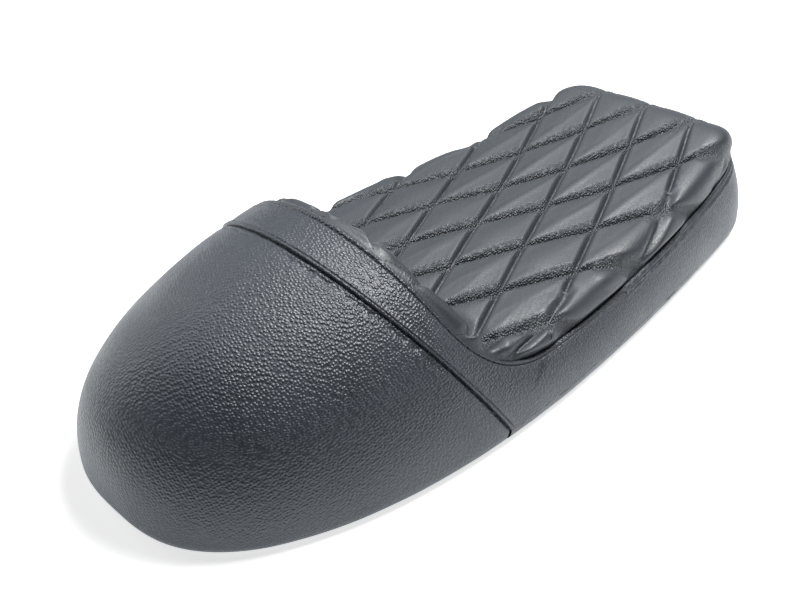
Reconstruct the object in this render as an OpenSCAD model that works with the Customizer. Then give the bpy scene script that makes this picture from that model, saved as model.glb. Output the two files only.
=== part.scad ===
// Cafe racer seat with a rear hump and a diamond quilted top.
// X runs forward to the nose, Y to the rider's left, Z up. The origin is in the middle
// of the footprint, on the surface that the lower edge rests on.

/* [Plan outline] */
// Length from nose to tail
seat_l = 600; // [560:1:640]
// Width that the flanks run out to at the nose, before its corners round off
nose_w = 180; // [160:1:200]
// Width half way along
mid_w = 272; // [250:1:290]
// Width that the flanks run out to at the tail, before it rounds off
tail_w = 280; // [260:1:300]
// Length over which the nose corners round off
nose_run = 82; // [60:1:110]
// Squareness of the nose corners
nose_n = 4; // [3:0.1:5]
// Length over which the tail rounds off
tail_run = 364; // [300:1:400]
// Squareness of the tail
tail_n = 2.84; // [2.4:0.02:3.2]

/* [Hump] */
// Height of the hump at the middle of its lip
hump_h = 147; // [130:1:165]
// Rise of the hump's crown for each 100 mm forward
hump_rise = 13; // [5:1:20]
// Length over which the crown falls away to the tail
hump_run = 265; // [220:1:300]
// Squareness of that fall
hump_n = 3.2; // [2.6:0.1:3.8]
// Roundness of the section against the flanks
dome_p = 1.85; // [1.7:0.05:2.2]
// Roundness of the section against the crown
dome_q = 2.05; // [1.8:0.05:2.4]
// Place of the rear seam at the crown
rear_seam_top_x = -155; // [-170:1:-140]
// Place of the rear seam at the lower edge
rear_seam_foot_x = -68; // [-80:1:-55]
// Place of the lip seam at the crown
lip_top_x = -116; // [-124:1:-106]
// Place where the lip seam's line would meet the lower edge
lip_foot_x = -61; // [-70:1:-50]
// Run of the bend between the lip seam and the shoulder seam
seam_bend = 54; // [40:1:65]

/* [Seat] */
// Height of the widest line of the cover
bulge_z = 11; // [9:0.5:14]
// Height of the shoulder seam at its lowest
seam_z = 45; // [40:0.5:50]
// Rise of the shoulder seam 200 mm from its lowest point
seam_rise = 12; // [6:0.5:14]
// Place of the lowest point of the shoulder seam and of the seat
low_x = 30; // [0:1:60]
// How far the shoulder seam lies inside the widest line
seam_inset = 11; // [8:0.5:14]
// Fullness of the flank between the widest line and the seam
flank_n = 2.4; // [2:0.1:3]
// Height of the quilting lines in the middle of the seat
seat_h = 65; // [60:0.5:72]
// Rise of the seat towards the nose
nose_rise = 41.5; // [34:0.5:50]
// Run over which the nose rolls down
nose_roll = 62; // [50:1:75]
// Fall of the seat from its middle to the shoulders
crown = 3.5; // [1:0.5:6]
// Width of the shoulder that rolls down to the seam
shoulder = 16; // [12:1:20]
// Slope of the hump's front face
face_tilt = 64; // [58:1:70]

/* [Quilting] */
// Length of a diamond
diamond_l = 107.5; // [96:0.5:116]
// Width of a diamond
diamond_w = 48; // [42:0.5:54]
// Place of the line of crossings that the pattern is set out from
quilt_x = 40; // [36:1:44]
// Height of the stuffed diamonds above the stitch lines
puff = 8; // [5:0.5:10]
// Thickness of the quilted panel under a stitch line
quilt_t = 3; // [2:0.5:4]

/* [Cover] */
// Thickness of the cover
cover_t = 1.5; // [1:0.1:2]
// How far one edge laps over the other at the rear seam
seam_lap = 0.8; // [0.4:0.1:1.2]
// Gap where two sewn edges meet
seam_gap = 0.5; // [0.3:0.1:0.8]
// Height that the hem is turned up inside the rim
hem_h = 13; // [8:0.5:15]
// Width of the tape behind the rear seam
tape_w = 22; // [16:1:26]
// Thickness of the tape
tape_t = 0.8; // [0.5:0.1:1]

/* [Base pan] */
// How far the rim stands inside the widest line of the cover
rim_inset = 10; // [9:0.5:12]
// Thickness of the rim
rim_t = 4.5; // [3.5:0.5:6]
// Height of the underside of the floor of the pan
floor_z = 18; // [17:0.5:22]
// Thickness of the floor of the pan
floor_t = 3; // [2.5:0.5:4]
// Depth of the ribs
rib_h = 7; // [5:0.5:8]
// Thickness of the ribs
rib_t = 2.6; // [2:0.2:3.4]
// Distance between ribs
rib_pitch = 58; // [50:1:70]
// Fit between the cover and the pan
fit_gap = 0.3; // [0.2:0.05:0.5]

/* [Fixings] */
// Distance between the front and the rear fixings
fix_dx = 260; // [240:1:280]
// Place of the middle of the fixings
fix_x = 20; // [0:1:40]
// Distance between the left and the right fixings
fix_dy = 130; // [110:1:150]
// Radius of the thread's bore in the weld nuts
nut_bore_r = 3.4; // [3.2:0.05:3.5]
// Width across the flats of the weld nuts
nut_af = 13; // [12:0.5:15]
// Height of the weld nuts
nut_h = 6.5; // [5:0.5:7]
// Width of a strap
strap_w = 32; // [28:1:40]
// Thickness of a strap
strap_t = 3; // [2:0.5:4]
// How far a strap runs past its fixings
strap_over = 26; // [22:1:32]
// Radius of a rivet's shank
rivet_r = 2.4; // [2:0.1:2.6]
// Radius of a bumper
bumper_r = 13; // [11:0.5:15]
// Height of a bumper
bumper_h = 13; // [11:0.5:14]
// Distance between rows of bumpers
bumper_dx = 170; // [166:1:176]
// Distance between the left and the right bumpers
bumper_dy = 184; // [176:1:190]

/* [Hidden] */

tiny = 0.001;
// Sides of large, middling and small rounds
large_fn = 48;
round_fn = 32;
small_fn = 24;
// Distances over which the hump's crown, the shoulder seam and the seat's crown are stated
hump_ref = 100;
seam_ref = 200;
crown_ref = 100;
nose_x = seat_l / 2;
tail_x = -seat_l / 2;

function mix(a, b, t) = a + (b - a) * t;
function unit(v) = v / max(norm(v), 1e-9);
function smooth(t) = let (c = min(max(t, 0), 1)) c * c * (3 - 2 * c);
function flat(lists) = [for (l = lists) for (v = l) v];

// Plan outline, as a half width along X and as stations from the nose (0) to the tail (3)
function fall(d, run, n) =
    d >= run ? 1 : pow(max(1 - pow(1 - max(d, 0) / run, n), 0), 1 / n);
function flank_w(x) =
    let (t = (x - tail_x) / seat_l)
    (tail_w * (1 - t) * (1 - 2 * t) + 4 * mid_w * t * (1 - t) + nose_w * t * (2 * t - 1)) / 2;
function half_w(x) =
    flank_w(x) * fall(nose_x - x, nose_run, nose_n) * fall(x - tail_x, tail_run, tail_n);
nose_end_x = nose_x - nose_run;
tail_end_x = tail_x + tail_run;
function plan_x(u) =
    u <= 1 ? nose_x - nose_run * (1 - pow(cos(90 * u), 2 / nose_n)) :
    u <= 2 ? mix(nose_end_x, tail_end_x, u - 1) :
    tail_x + tail_run * (1 - pow(cos(90 * (3 - u)), 2 / tail_n));
function plan_u(x) =
    x >= nose_end_x ? acos(pow(1 - (nose_x - x) / nose_run, nose_n / 2)) / 90 :
    x >= tail_end_x ? 1 + (nose_end_x - x) / (nose_end_x - tail_end_x) :
    3 - acos(pow(1 - (x - tail_x) / tail_run, tail_n / 2)) / 90;
function plan_p(u) = let (x = plan_x(u)) [x, half_w(x)];
function plan_n(u) =
    u <= tiny ? [-1, 0] :
    u >= 3 - tiny ? [1, 0] :
    let (t = unit(plan_p(min(u + 0.01, 3)) - plan_p(max(u - 0.01, 0)))) [-t.y, t.x];
// A point at an inset from the outline and a height, on side s (1 left, -1 right)
function rim_p(u, inset, z, s) =
    let (p = plan_p(u) + plan_n(u) * inset) [p.x, s * p.y, z];

// Hump: its crown line, and its section at x from the right (0) over the crown (90) to the left
function crown_z(x) =
    (hump_h + hump_rise * (x - lip_top_x) / hump_ref - bulge_z) * fall(x - tail_x, hump_run, hump_n);
function dome(x, a, e) =
    let (w = half_w(x), c = cos(a), y = w * pow(abs(c), 2 / dome_p),
        h = crown_z(x) * pow(max(sin(a), 0), 2 / dome_q),
        flank = w - mix(w - y, flank_in(h + bulge_z), smooth((x - lip_top_x) / (low_x - lip_top_x) * 1.6)),
        k = e / (tail_w / 2), kx = e / (lip_top_x - tail_x))
    [x < lip_top_x ? mix(x, lip_top_x, kx) : x, (c > 0 ? -1 : 1) * flank * (1 - k),
        bulge_z + h * (1 - e / (hump_h - bulge_z))];
function dome_a(x, z) =
    asin(pow(min((z - bulge_z) / crown_z(x), 1), dome_q / 2));
function line_x(z, top_x, foot_x) = mix(foot_x, top_x, z / hump_h);
// The x at which the section angle a meets a leaning seam line
function on_line(a, top_x, foot_x, x, n = 8) =
    n == 0 ? x : on_line(a, top_x, foot_x, line_x(dome(x, a, 0).z, top_x, foot_x), n - 1);
function rear_x(a) = on_line(a, rear_seam_top_x, rear_seam_foot_x, rear_seam_foot_x);
function lip_x(a) = on_line(a, lip_top_x, lip_foot_x, lip_foot_x);

// Flank of the seat: its inset at a height, and the shoulder seam
function flank_in(z) = seam_inset * pow(max(z - bulge_z, 0) / (seam_z - bulge_z), flank_n);
function seam_h(x) = seam_z + seam_rise * pow((x - low_x) / seam_ref, 2);
function flank_p(u, z, e, s) =
    let (x = plan_x(u), k = (z - bulge_z) / (seam_h(x) - bulge_z))
    rim_p(u, seam_inset * pow(max(k, 0), flank_n) + e, z, s);

// The bend from the shoulder seam up to the lip seam, in the side view
bend_z = seam_h(lip_foot_x);
bend_c = [line_x(bend_z, lip_top_x, lip_foot_x), bend_z];
bend_up = unit([lip_top_x - lip_foot_x, hump_h]) * seam_bend;
bend_end_x = bend_c.x + seam_bend;
bend_end_u = plan_u(bend_end_x);
bend_top_z = bend_c.y + bend_up.y;
function bend_p(t) =
    let (a = [bend_end_x, seam_h(bend_end_x)], c = bend_c + bend_up)
    a * (1 - t) * (1 - t) + 2 * bend_c * t * (1 - t) + c * t * t;
lip_a = dome_a(bend_c.x + bend_up.x, bend_top_z);
// Side view place and section angle of the border seam past the shoulder, v from 0 to 2
function upper_xa(v) =
    v < 1 ? let (p = bend_p(v)) [p.x, dome_a(p.x, p.y)] :
    let (a = mix(lip_a, 90, v - 1)) [lip_x(a), a];
// The border seam from the middle of the nose (0) to the bend (2) and over the lip (4)
function border_p(v, s) =
    v <= 2 ?
        let (u = v <= 1 ? v : mix(1, bend_end_u, v - 1)) flank_p(u, seam_h(plan_x(u)), 0, s) :
        let (q = upper_xa(v - 2), p = dome(q.x, q[1], 0)) [p.x, -s * p.y, p.z];

// A closed skin from its outer and inner points, its outer faces and its rim
function skin_faces(faces, rims, n) =
    concat(faces,
        [for (f = faces) [for (i = [len(f) - 1:-1:0]) f[i] + n]],
        [for (rim = rims) for (i = [0:len(rim) - 2]) [rim[i + 1], rim[i], rim[i] + n]],
        [for (rim = rims) for (i = [0:len(rim) - 2]) [rim[i + 1], rim[i] + n, rim[i + 1] + n]]);
module skin(outer, inner, faces, rims) {
    polyhedron(concat(outer, inner), skin_faces(faces, rims, len(outer)));
}
// Faces of a grid of points: rows of n columns that start at index o
function grid_faces(rows, n, o) =
    [for (i = [0:rows - 2]) for (j = [0:n - 2]) for (k = [0, 1])
        let (a = o + i * n + j) k == 0 ? [a, a + 1, a + n + 1] : [a, a + n + 1, a + n]];

// What curved neighbours keep clear of each other's facets
facet_gap = 0.6;

// Section of the hem, as insets and heights on its outer and inner side, from its edge up
// to the widest line
hem_in = rim_inset + rim_t + fit_gap + facet_gap;
hem_turn = 1.4;
tuck_low = [3.4, 3];
tuck_high = [1, 6.4];
function hem_outer() =
    [[hem_in + cover_t, hem_h], [hem_in + cover_t, hem_turn], [hem_in + cover_t - hem_turn, 0],
        [rim_inset - 1, 0], tuck_low, tuck_high, [0, bulge_z]];
function hem_inner() =
    [[hem_in, hem_h], [hem_in, cover_t + 0.1], [hem_in - 0.2, cover_t],
        [rim_inset - 0.6, cover_t], tuck_low + cover_t * [0.7, 0.8],
        tuck_high + cover_t * [1, 0.3], [cover_t, bulge_z]];
hem_rows = len(hem_outer());

/* The rear panel of the cover, over the hump's tail */
tail_rings = 15;
dome_cols = 24;
function tail_ring(i, e, step) =
    [for (j = [0:dome_cols]) let (a = 180 * j / dome_cols, f = sin(90 * i / tail_rings))
        dome(mix(rear_x(a < 90 ? a : 180 - a) - step, tail_x, f), a, e)];
module hump_cover() {
    n = dome_cols + 1;
    side_u = [for (i = [0:tail_rings])
        plan_u(mix(rear_x(0) - seam_gap, tail_x, sin(90 * i / tail_rings)))];
    rim_u = concat([for (u = side_u) [u, -1]], [for (i = [tail_rings - 1:-1:0]) [side_u[i], 1]]);
    m = len(rim_u);
    function sheet(e, hem) =
        concat(flat([for (i = [0:tail_rings - 1]) tail_ring(i, e, seam_gap)]), [dome(tail_x, 0, e)],
            flat([for (r = [0:hem_rows - 2]) [for (q = rim_u) rim_p(q[0], hem[r][0], hem[r][1], q[1])]]));
    tip = tail_rings * n;
    hem_o = tip + 1;
    // Indices of the widest line, from the right end of the seam round the tail to the left
    wide = concat([for (i = [0:tail_rings - 1]) i * n], [tip],
        [for (i = [tail_rings - 1:-1:0]) i * n + n - 1]);
    rows = concat([for (r = [0:hem_rows - 2]) [for (k = [0:m - 1]) hem_o + r * m + k]], [wide]);
    dome_faces = concat(
        [for (i = [0:tail_rings - 2]) for (j = [0:dome_cols - 1]) for (k = [0, 1])
            let (a = i * n + j) k == 0 ? [a, a + n, a + n + 1] : [a, a + n + 1, a + 1]],
        [for (j = [0:dome_cols - 1]) let (a = (tail_rings - 1) * n + j) [a, tip, a + 1]]);
    hem_faces = [for (r = [0:hem_rows - 2]) for (k = [0:m - 2]) for (h = [0, 1])
        h == 0 ? [rows[r][k], rows[r][k + 1], rows[r + 1][k + 1]] :
        [rows[r][k], rows[r + 1][k + 1], rows[r + 1][k]]];
    // Closed rim: hem edge, up the left end, back over the seam and down the right end
    rim = concat([for (k = [0:m - 1]) rows[0][k]], [for (r = [1:hem_rows - 1]) rows[r][m - 1]],
        [for (j = [dome_cols - 1:-1:0]) j], [for (r = [hem_rows - 2:-1:0]) rows[r][0]]);
    color([0.13, 0.13, 0.14])
        skin(sheet(0, hem_outer()), sheet(cover_t, hem_inner()), concat(dome_faces, hem_faces), [rim]);
}

/* The band over the hump, in one piece with the skirt round the seat */
nose_steps = 11;
flank_steps = 15;
band_steps = 14;
foot_u = plan_u(line_x(bulge_z, rear_seam_top_x, rear_seam_foot_x) + seam_gap);
band_f = [0, 0.14, 0.4, 0.7, 1];
// Stations of one side, from the middle of the nose to the crown: [kind, outer, inner]
function band_stations() = concat(
    [for (i = [0:nose_steps - 1]) [0, i / nose_steps, i / nose_steps]],
    [for (i = [0:flank_steps]) let (t = i / flank_steps)
        [0, mix(1, foot_u, t), mix(1, bend_end_u, t)]],
    [for (i = [1:band_steps]) let (t = i / band_steps) [1, 90 * t, 2 * t]]);
function band_point(q, f, e, s) =
    q[0] == 0 ?
        let (u = mix(q[1], q[2], f), x = plan_x(u)) flank_p(u, mix(bulge_z, seam_h(x), f), e, s) :
        let (b = upper_xa(q[2]), x0 = rear_x(q[1]) + seam_gap,
            p = dome(mix(x0, b.x, f), mix(q[1], b[1], f), e - seam_lap * (1 - f) * (1 - f)))
        [p.x, -s * p.y, p.z];
module side_band() {
    side = band_stations();
    n_side = len(side);
    skirt = nose_steps + flank_steps;
    // Right side from the nose to the crown, then the left side back to the nose
    loop = concat([for (q = side) [q, -1]], [for (i = [n_side - 2:-1:1]) [side[i], 1]]);
    m = len(loop);
    k_last = len(band_f) - 1;
    hem_st = concat([for (i = [m - skirt:m - 1]) i], [for (i = [0:skirt]) i]);
    mh = len(hem_st);
    function sheet(e, hem) = concat(
        flat([for (f = band_f) [for (q = loop) band_point(q[0], f, e, q[1])]]),
        flat([for (r = [0:hem_rows - 2]) [for (i = hem_st)
            rim_p(loop[i][0][1], hem[r][0], hem[r][1], loop[i][1])]]));
    hem_o = m * len(band_f);
    function row(r, k) = r < hem_rows - 1 ? hem_o + r * mh + k : hem_st[k];
    loop_faces = [for (i = [0:k_last - 1]) for (j = [0:m - 1]) for (k = [0, 1])
        let (a = i * m + j, b = i * m + (j + 1) % m) k == 0 ? [a, b + m, b] : [a, a + m, b + m]];
    hem_faces = [for (r = [0:hem_rows - 2]) for (k = [0:mh - 2]) for (h = [0, 1])
        h == 0 ? [row(r, k), row(r + 1, k + 1), row(r, k + 1)] :
        [row(r, k), row(r + 1, k), row(r + 1, k + 1)]];
    inner_rim = [for (j = [0:m]) k_last * m + j % m];
    outer_rim = concat([for (k = [mh - 1:-1:0]) row(0, k)], [for (r = [1:hem_rows - 1]) row(r, 0)],
        [for (i = [m - skirt - 1:-1:skirt]) i], [for (r = [hem_rows - 2:-1:0]) row(r, mh - 1)]);
    color([0.15, 0.15, 0.16])
        skin(sheet(0, hem_outer()), sheet(cover_t, hem_inner()),
            concat(loop_faces, hem_faces), [inner_rim, outer_rim]);
}

/* The diamond quilted panel, from the nose back to the seat's foot and up the hump's face.
   Rows run across the seat. A row's place t is measured back along the panel from quilt_x. */
steps = 4;
row_d = diamond_l / 2 / steps;
col_d = diamond_w / 2 / steps;
seat_sink = 0.06;
nose_curve = 2.2;
nose_roll_n = 2.1;
function seat_top(x) =
    (seat_h + nose_rise * pow(max(x - low_x, 0) / (nose_x - low_x), nose_curve)
        - seat_sink * max(low_x - x, 0)) * fall(nose_x - x, nose_roll, nose_roll_n);
foot_t = diamond_l;
foot_x = quilt_x - foot_t;
foot_z = seat_top(foot_x);
function spine(t) =
    t <= foot_t ? [quilt_x - t, 0, seat_top(quilt_x - t)] :
    [foot_x - (t - foot_t) * cos(face_tilt), 0, foot_z + (t - foot_t) * sin(face_tilt)];
function spine_n(t) =
    t >= foot_t ? [sin(face_tilt), 0, cos(face_tilt)] :
    let (d = spine(t - 1) - spine(t + 1)) unit([-d.z, 0, d.x]);
function stitch_plane(t, y) =
    spine(t) + [0, y, 0] - spine_n(t) * crown * pow(abs(y) / crown_ref, 2.5);
function stuffing(t, y) =
    let (a = t / diamond_l + y / diamond_w, b = t / diamond_l - y / diamond_w)
    puff * pow(abs(sin(180 * a) * sin(180 * b)), 0.5) * smooth(abs(t - foot_t) / (1.5 * row_d));
nose_u = 0.45;
// Room for the shoulder at the nose and under the lip, and the run of the nose corners
nose_room = 2 * shoulder - 3;
lip_room = 14;
corner_run = 70;
lip_reach = 60;
row_first = floor((nose_x - nose_room - quilt_x) / row_d);
first_t = -row_first * row_d;
face_rows = floor((hump_h - lip_room - foot_z) / sin(face_tilt) / row_d);
row_last = -2 * steps - face_rows;
last_t = -row_last * row_d;
rows_n = row_first - row_last;
function row_t(i) = first_t + i * row_d;
nose_shift = plan_x(nose_u) - (quilt_x - first_t);
shift_t = first_t + corner_run;
function border_u(t) =
    plan_u(quilt_x - t + nose_shift * pow(max(1 - (t - first_t) / (shift_t - first_t), 0), 1.5));
function border_v1(t) = let (u = border_u(t)) u <= 1 ? u : 1 + (u - 1) / (bend_end_u - 1);
bend_t = quilt_x - bend_end_x - shoulder;
last_v = 3.55;
function border_v(t) =
    t < bend_t ? border_v1(t) : mix(border_v1(bend_t), last_v, (t - bend_t) / (last_t - bend_t));
function row_w(t) = abs(border_p(border_v(t), 1).y) - shoulder * (t <= first_t ? 0.8 : 1);
function row_k(i) = floor((row_w(row_t(i)) - 0.35 * col_d) / col_d);
function row_y(i, k) = let (n = row_k(i)) abs(k) > n ? sign(k) * row_w(row_t(i)) : k * col_d;
// Stations round the panel: [row, column, place on the border seam, side]
function panel_stations() =
    let (k0 = row_k(0) + 1, k1 = row_k(rows_n) + 1)
    concat(
        [for (i = [0:rows_n]) [i, -row_k(i) - 1, border_v(row_t(i)), -1]],
        [for (k = [1 - k1:k1 - 1]) [rows_n, k, mix(4, last_v, abs(k) / k1), k < 0 ? -1 : 1]],
        [for (i = [rows_n:-1:0]) [i, row_k(i) + 1, border_v(row_t(i)), 1]],
        [for (k = [k0 - 1:-1:1 - k0]) [0, k, nose_u * abs(k) / k0, k < 0 ? -1 : 1]]);
// Directions at the border: along the panel, and into the seat
function border_in(v, s) =
    v <= 2 ? let (n = plan_n(v <= 1 ? v : mix(1, bend_end_u, v - 1))) [n.x, s * n.y, 0] :
    let (n = plan_n(bend_end_u), f = smooth(v - 2)) unit([mix(n.x, 1, f), s * mix(n.y, 0, f), 0]);
function border_down(v, s) =
    let (p = border_p(v, s), f = smooth(v - 2))
    unit(mix(0.6 * border_in(v, s) + [0, 0, -1], unit([lip_reach, -p.y, bulge_z - p.z]), f));
function border_edge(q) =
    let (in = mix(cover_t + seam_gap + facet_gap, seam_gap + facet_gap, smooth(q[2] - 2)))
    border_p(q[2], q[3]) + in * border_in(q[2], q[3]);
function shoulder_p(q, f) =
    let (t = row_t(q[0]), y = row_y(q[0], q[1]), m = stitch_plane(t, y), b = border_edge(q),
        slow = 1 - cos(90 * f), fast = sin(90 * f), up = smooth((t - foot_t) / (3 * row_d)),
        back = smooth(t / foot_t),
        px = mix(b.x, m.x, mix(slow, fast, back)),
        p = [px, mix(b.y, m.y, slow), mix(b.z, m.z, mix(fast, slow, up))],
        tp = q[0] == 0 ? t - (p.x - m.x) : q[0] == rows_n ? t + norm(p - m) : t)
    p + spine_n(t) * stuffing(tp, p.y) * fast * f;
shoulder_f = [0, 0.18, 0.42, 0.7];
// Triangles between two runs of indices with different counts
function zip_faces(a, b) =
    let (p = len(a), q = len(b), at = [for (i = [0:p - 2]) round((i + 0.5) * (q - 1) / (p - 1))])
    concat([for (i = [0:p - 2]) [a[i], a[i + 1], b[at[i]]]],
        [for (j = [0:q - 2]) let (i = len([for (e = at) if (e <= j) e])) [b[j], a[i], b[j + 1]]]);
// Steps from a crossing of the grid to the nearest stitch line of one family
function line_gap(n) = let (r = ((n % (2 * steps)) + 2 * steps) % (2 * steps)) min(r, 2 * steps - r);
// Underside of the panel, e below it: the columns of one row, and its edge
function under_n(i) = i == 0 || i == rows_n ? 2 * row_k(i) + 3 : 5;
function under_y(i, j) =
    i == 0 || i == rows_n ? row_y(i, j - row_k(i) - 1) : row_w(row_t(i)) * (j - 2) / 2;
function under_p(i, j, e) =
    let (t = row_t(i)) stitch_plane(t, under_y(i, j)) - spine_n(t) * (quilt_t + e);
function under_edge(q, e) = border_edge(q) + border_down(q[2], q[3]) * (quilt_t + e);
module quilted_panel() {
    st = panel_stations();
    m = len(st);
    rings = len(shoulder_f);
    function n_before(i) = i == 0 ? 0 : n_before(i - 1) + 2 * row_k(i - 1) + 3;
    starts = [for (i = [0:rows_n + 1]) n_before(i)];
    top_o = m * rings;
    function at(i, k) =
        let (n = row_k(i) + 1) top_o + starts[i] + min(max(k, -n), n) + n;
    k_max = max([for (i = [0:rows_n]) row_k(i)]);
    top = [for (i = [0:rows_n]) let (n = row_k(i) + 1, t = row_t(i)) for (k = [-n:n])
        let (y = row_y(i, k)) stitch_plane(t, y) + spine_n(t) * stuffing(t, y)];
    low_o = top_o + len(top);
    low_n = [for (i = [0:rows_n]) under_n(i)];
    function low_before(i) = i == 0 ? 0 : low_before(i - 1) + low_n[i - 1];
    low_starts = [for (i = [0:rows_n]) low_before(i)];
    low = [for (i = [0:rows_n]) for (j = [0:low_n[i] - 1]) under_p(i, j, 0)];
    edge_o = low_o + len(low);
    edge = [for (q = st) under_edge(q, 0)];
    function low_at(i, j) = low_o + low_starts[i] + j;
    function low_st(q) =
        q[0] == 0 || q[0] == rows_n ? low_at(q[0], q[1] + row_k(q[0]) + 1) :
        low_at(q[0], q[1] < 0 ? 0 : low_n[q[0]] - 1);
    grid = [for (i = [0:rows_n - 1]) for (k = [-k_max - 1:k_max])
        let (a = at(i, k), b = at(i, k + 1), c = at(i + 1, k + 1), d = at(i + 1, k),
            n = i - row_first)
        for (f = line_gap(n - k) <= line_gap(n + k + 1) ?
            [[a, c, b], [a, d, c]] : [[a, d, b], [b, d, c]])
        if (f[0] != f[1] && f[1] != f[2] && f[0] != f[2]) f];
    strips = [for (r = [0:rings - 1]) for (j = [0:m - 1])
        let (j1 = (j + 1) % m, a = r * m + j, b = r * m + j1,
            c = r < rings - 1 ? (r + 1) * m + j1 : at(st[j1][0], st[j1][1]),
            d = r < rings - 1 ? (r + 1) * m + j : at(st[j][0], st[j][1]))
        for (f = [[a, b, c], [a, c, d]]) f];
    under = flat([for (i = [0:rows_n - 1])
        zip_faces([for (j = [0:low_n[i] - 1]) low_at(i, j)],
            [for (j = [0:low_n[i + 1] - 1]) low_at(i + 1, j)])]);
    sides = [for (j = [0:m - 1]) let (j1 = (j + 1) % m, a = j, b = j1, c = edge_o + j1, d = edge_o + j)
        for (f = [[a, c, b], [a, d, c],
            [d, low_st(st[j1]), c], [d, low_st(st[j]), low_st(st[j1])]]) f];
    color([0.2, 0.2, 0.21])
        polyhedron(
            concat(flat([for (f = shoulder_f) [for (q = st) shoulder_p(q, f)]]), top, low, edge),
            concat(grid, strips, under, sides));
}

/* Tape sewn behind the rear seam */
module rear_seam_tape() {
    cols = 20;
    low = 8;
    function tape_p(j, f, e) =
        let (a = mix(low, 180 - low, j / cols), x = rear_x(a < 90 ? a : 180 - a))
        dome(x + (f - 0.5) * tape_w, a, cover_t + facet_gap + fit_gap / 2 + e);
    function layer(e) = flat([for (f = [0, 1]) [for (j = [0:cols]) tape_p(j, f, e)]]);
    n = cols + 1;
    rim = concat([for (j = [0:cols]) j], [for (j = [cols:-1:0]) n + j], [0]);
    color([0.1, 0.1, 0.1])
        skin(layer(0), layer(tape_t),
            [for (f = grid_faces(2, n, 0)) [f[0], f[2], f[1]]], [[for (i = [len(rim) - 1:-1:0]) rim[i]]]);
}

// A solid lofted through closed rings of equal length, capped at both ends
module loft(rings) {
    n = len(rings[0]);
    last = len(rings) - 1;
    function centre(r) = [for (i = [0:n - 1]) 1 / n] * r;
    polyhedron(concat(flat(rings), [centre(rings[0]), centre(rings[last])]), concat(
        [for (i = [0:last - 1]) for (j = [0:n - 1]) for (k = [0, 1])
            let (a = i * n + j, b = i * n + (j + 1) % n) k == 0 ? [a, b, b + n] : [a, b + n, a + n]],
        [for (j = [0:n - 1]) [(last + 1) * n, (j + 1) % n, j]],
        [for (j = [0:n - 1]) [(last + 1) * n + 1, last * n + j, last * n + (j + 1) % n]]));
}

// The foam blocks stand on the floor of the pan and fill the cover above it
floor_top = floor_z + floor_t;
foam_in = cover_t + 2 * facet_gap;

/* Foam block of the hump */
foam_rings = 11;
foam_cols = 18;
foam_end_a = 84;
front_gap = quilt_t + 2;
function face_x(z) = foot_x - max(z - foot_z, 0) / tan(face_tilt) - front_gap;
module hump_foam() {
    // Where the block's front ends, for a section angle a
    function front_x(a) = let (x = lip_x(a) - quilt_t, z = dome(x, a, 0).z) min(x, face_x(z));
    function block_p(f, a) =
        dome(mix(front_x(a < 90 ? a : 180 - a), tail_x, f), a, foam_in + tape_t + facet_gap);
    function ring(i) =
        let (f = sin(foam_end_a * (1 - i / foam_rings)),
            low = dome_a(mix(front_x(0), tail_x, f), floor_top))
        [for (j = [0:foam_cols]) let (p = block_p(f, mix(low, 180 - low, j / foam_cols)))
            [p.x, p.y, max(p.z, floor_top)]];
    color([0.85, 0.8, 0.62]) loft([for (i = [0:foam_rings]) ring(i)]);
}

/* Foam pad of the seat */
module seat_foam() {
    gap = quilt_t + 4 * facet_gap;
    under_seam = seam_z - 9;
    // A ring from the right foot over the top to the left foot: the outline's u, the right
    // half of the top from the shoulder in, and the middle of the top
    function ring(u, top, mid) =
        let (half = [for (s = [-1, 1]) concat(
            [for (z = [floor_top, mix(floor_top, seam_z, 0.3), under_seam]) flank_p(u, z, foam_in, s)],
            [for (p = top) [p.x, s * abs(p.y), p.z]])])
        concat(half[0], [mid], [for (k = [len(half[1]) - 1:-1:0]) half[1][k]]);
    function row_ring(i) =
        let (t = row_t(i), w = row_w(t), q = [i, 0, border_v(t), 1], down = spine_n(t) * gap,
            clear = (t > foot_t - 4 * row_d ? 10 : 5) * facet_gap)
        ring(border_u(t), concat([under_edge(q, clear)],
            [for (y = [w - 2, w / 2]) stitch_plane(t, y) - down]), stitch_plane(t, 0) - down);
    back = [-2, 0, -1];
    function nose_ring(u) =
        let (f = 1 - u / nose_u, t = first_t, w = row_w(t), down = spine_n(t) * gap,
            low = under_edge([0, 0, u, 1], 5 * facet_gap))
        ring(u, concat([low], [for (y = [1, 0.5])
            mix(stitch_plane(t, w * y) - down, [low.x, low.y * y, low.z] + back, f)]),
            mix(stitch_plane(t, 0) - down, [low.x, 0, low.z] + back, f));
    rows = [for (i = [rows_n:-1:0]) if (row_t(i) < foot_t - 1) i];
    color([0.9, 0.85, 0.66])
        loft(concat([for (i = rows) row_ring(i)], [for (u = [0.3, 0.16, 0.05]) nose_ring(u)]));
}

/* Base pan */
pan_pts = 40;
module pan_plan(inset) {
    side = [for (i = [1:pan_pts - 1]) let (u = 3 * i / pan_pts) rim_p(u, inset, 0, 1)];
    polygon(concat([[nose_x - inset, 0]], [for (p = side) [p.x, p.y]], [[tail_x + inset, 0]],
        [for (i = [len(side) - 1:-1:0]) [side[i].x, -side[i].y]]));
}
rim_z = cover_t + 0.2;
rim_clear = 2 * fit_gap + facet_gap + cover_t;
boss_r = 4.5;
boss_end = floor_z - bumper_h + 5;
screw_r = 1.6;
fix_hole_r = 6;
strap_len = fix_dy + 2 * strap_over;
rivet_out = 15;
rivet_at = fix_dy / 2 + rivet_out;
set_head_r = 2 * rivet_r;
set_head_h = 1.2;
drain_r = 5;
bumper_x = 15;
bumper_narrow = 36;
function bumper_w(i) = i == 1 ? bumper_dy - bumper_narrow : bumper_dy;
function bumper_spots() =
    [for (i = [-1, 0, 1]) for (s = [-1, 1]) [bumper_x + i * bumper_dx, s * bumper_w(i) / 2]];
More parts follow.
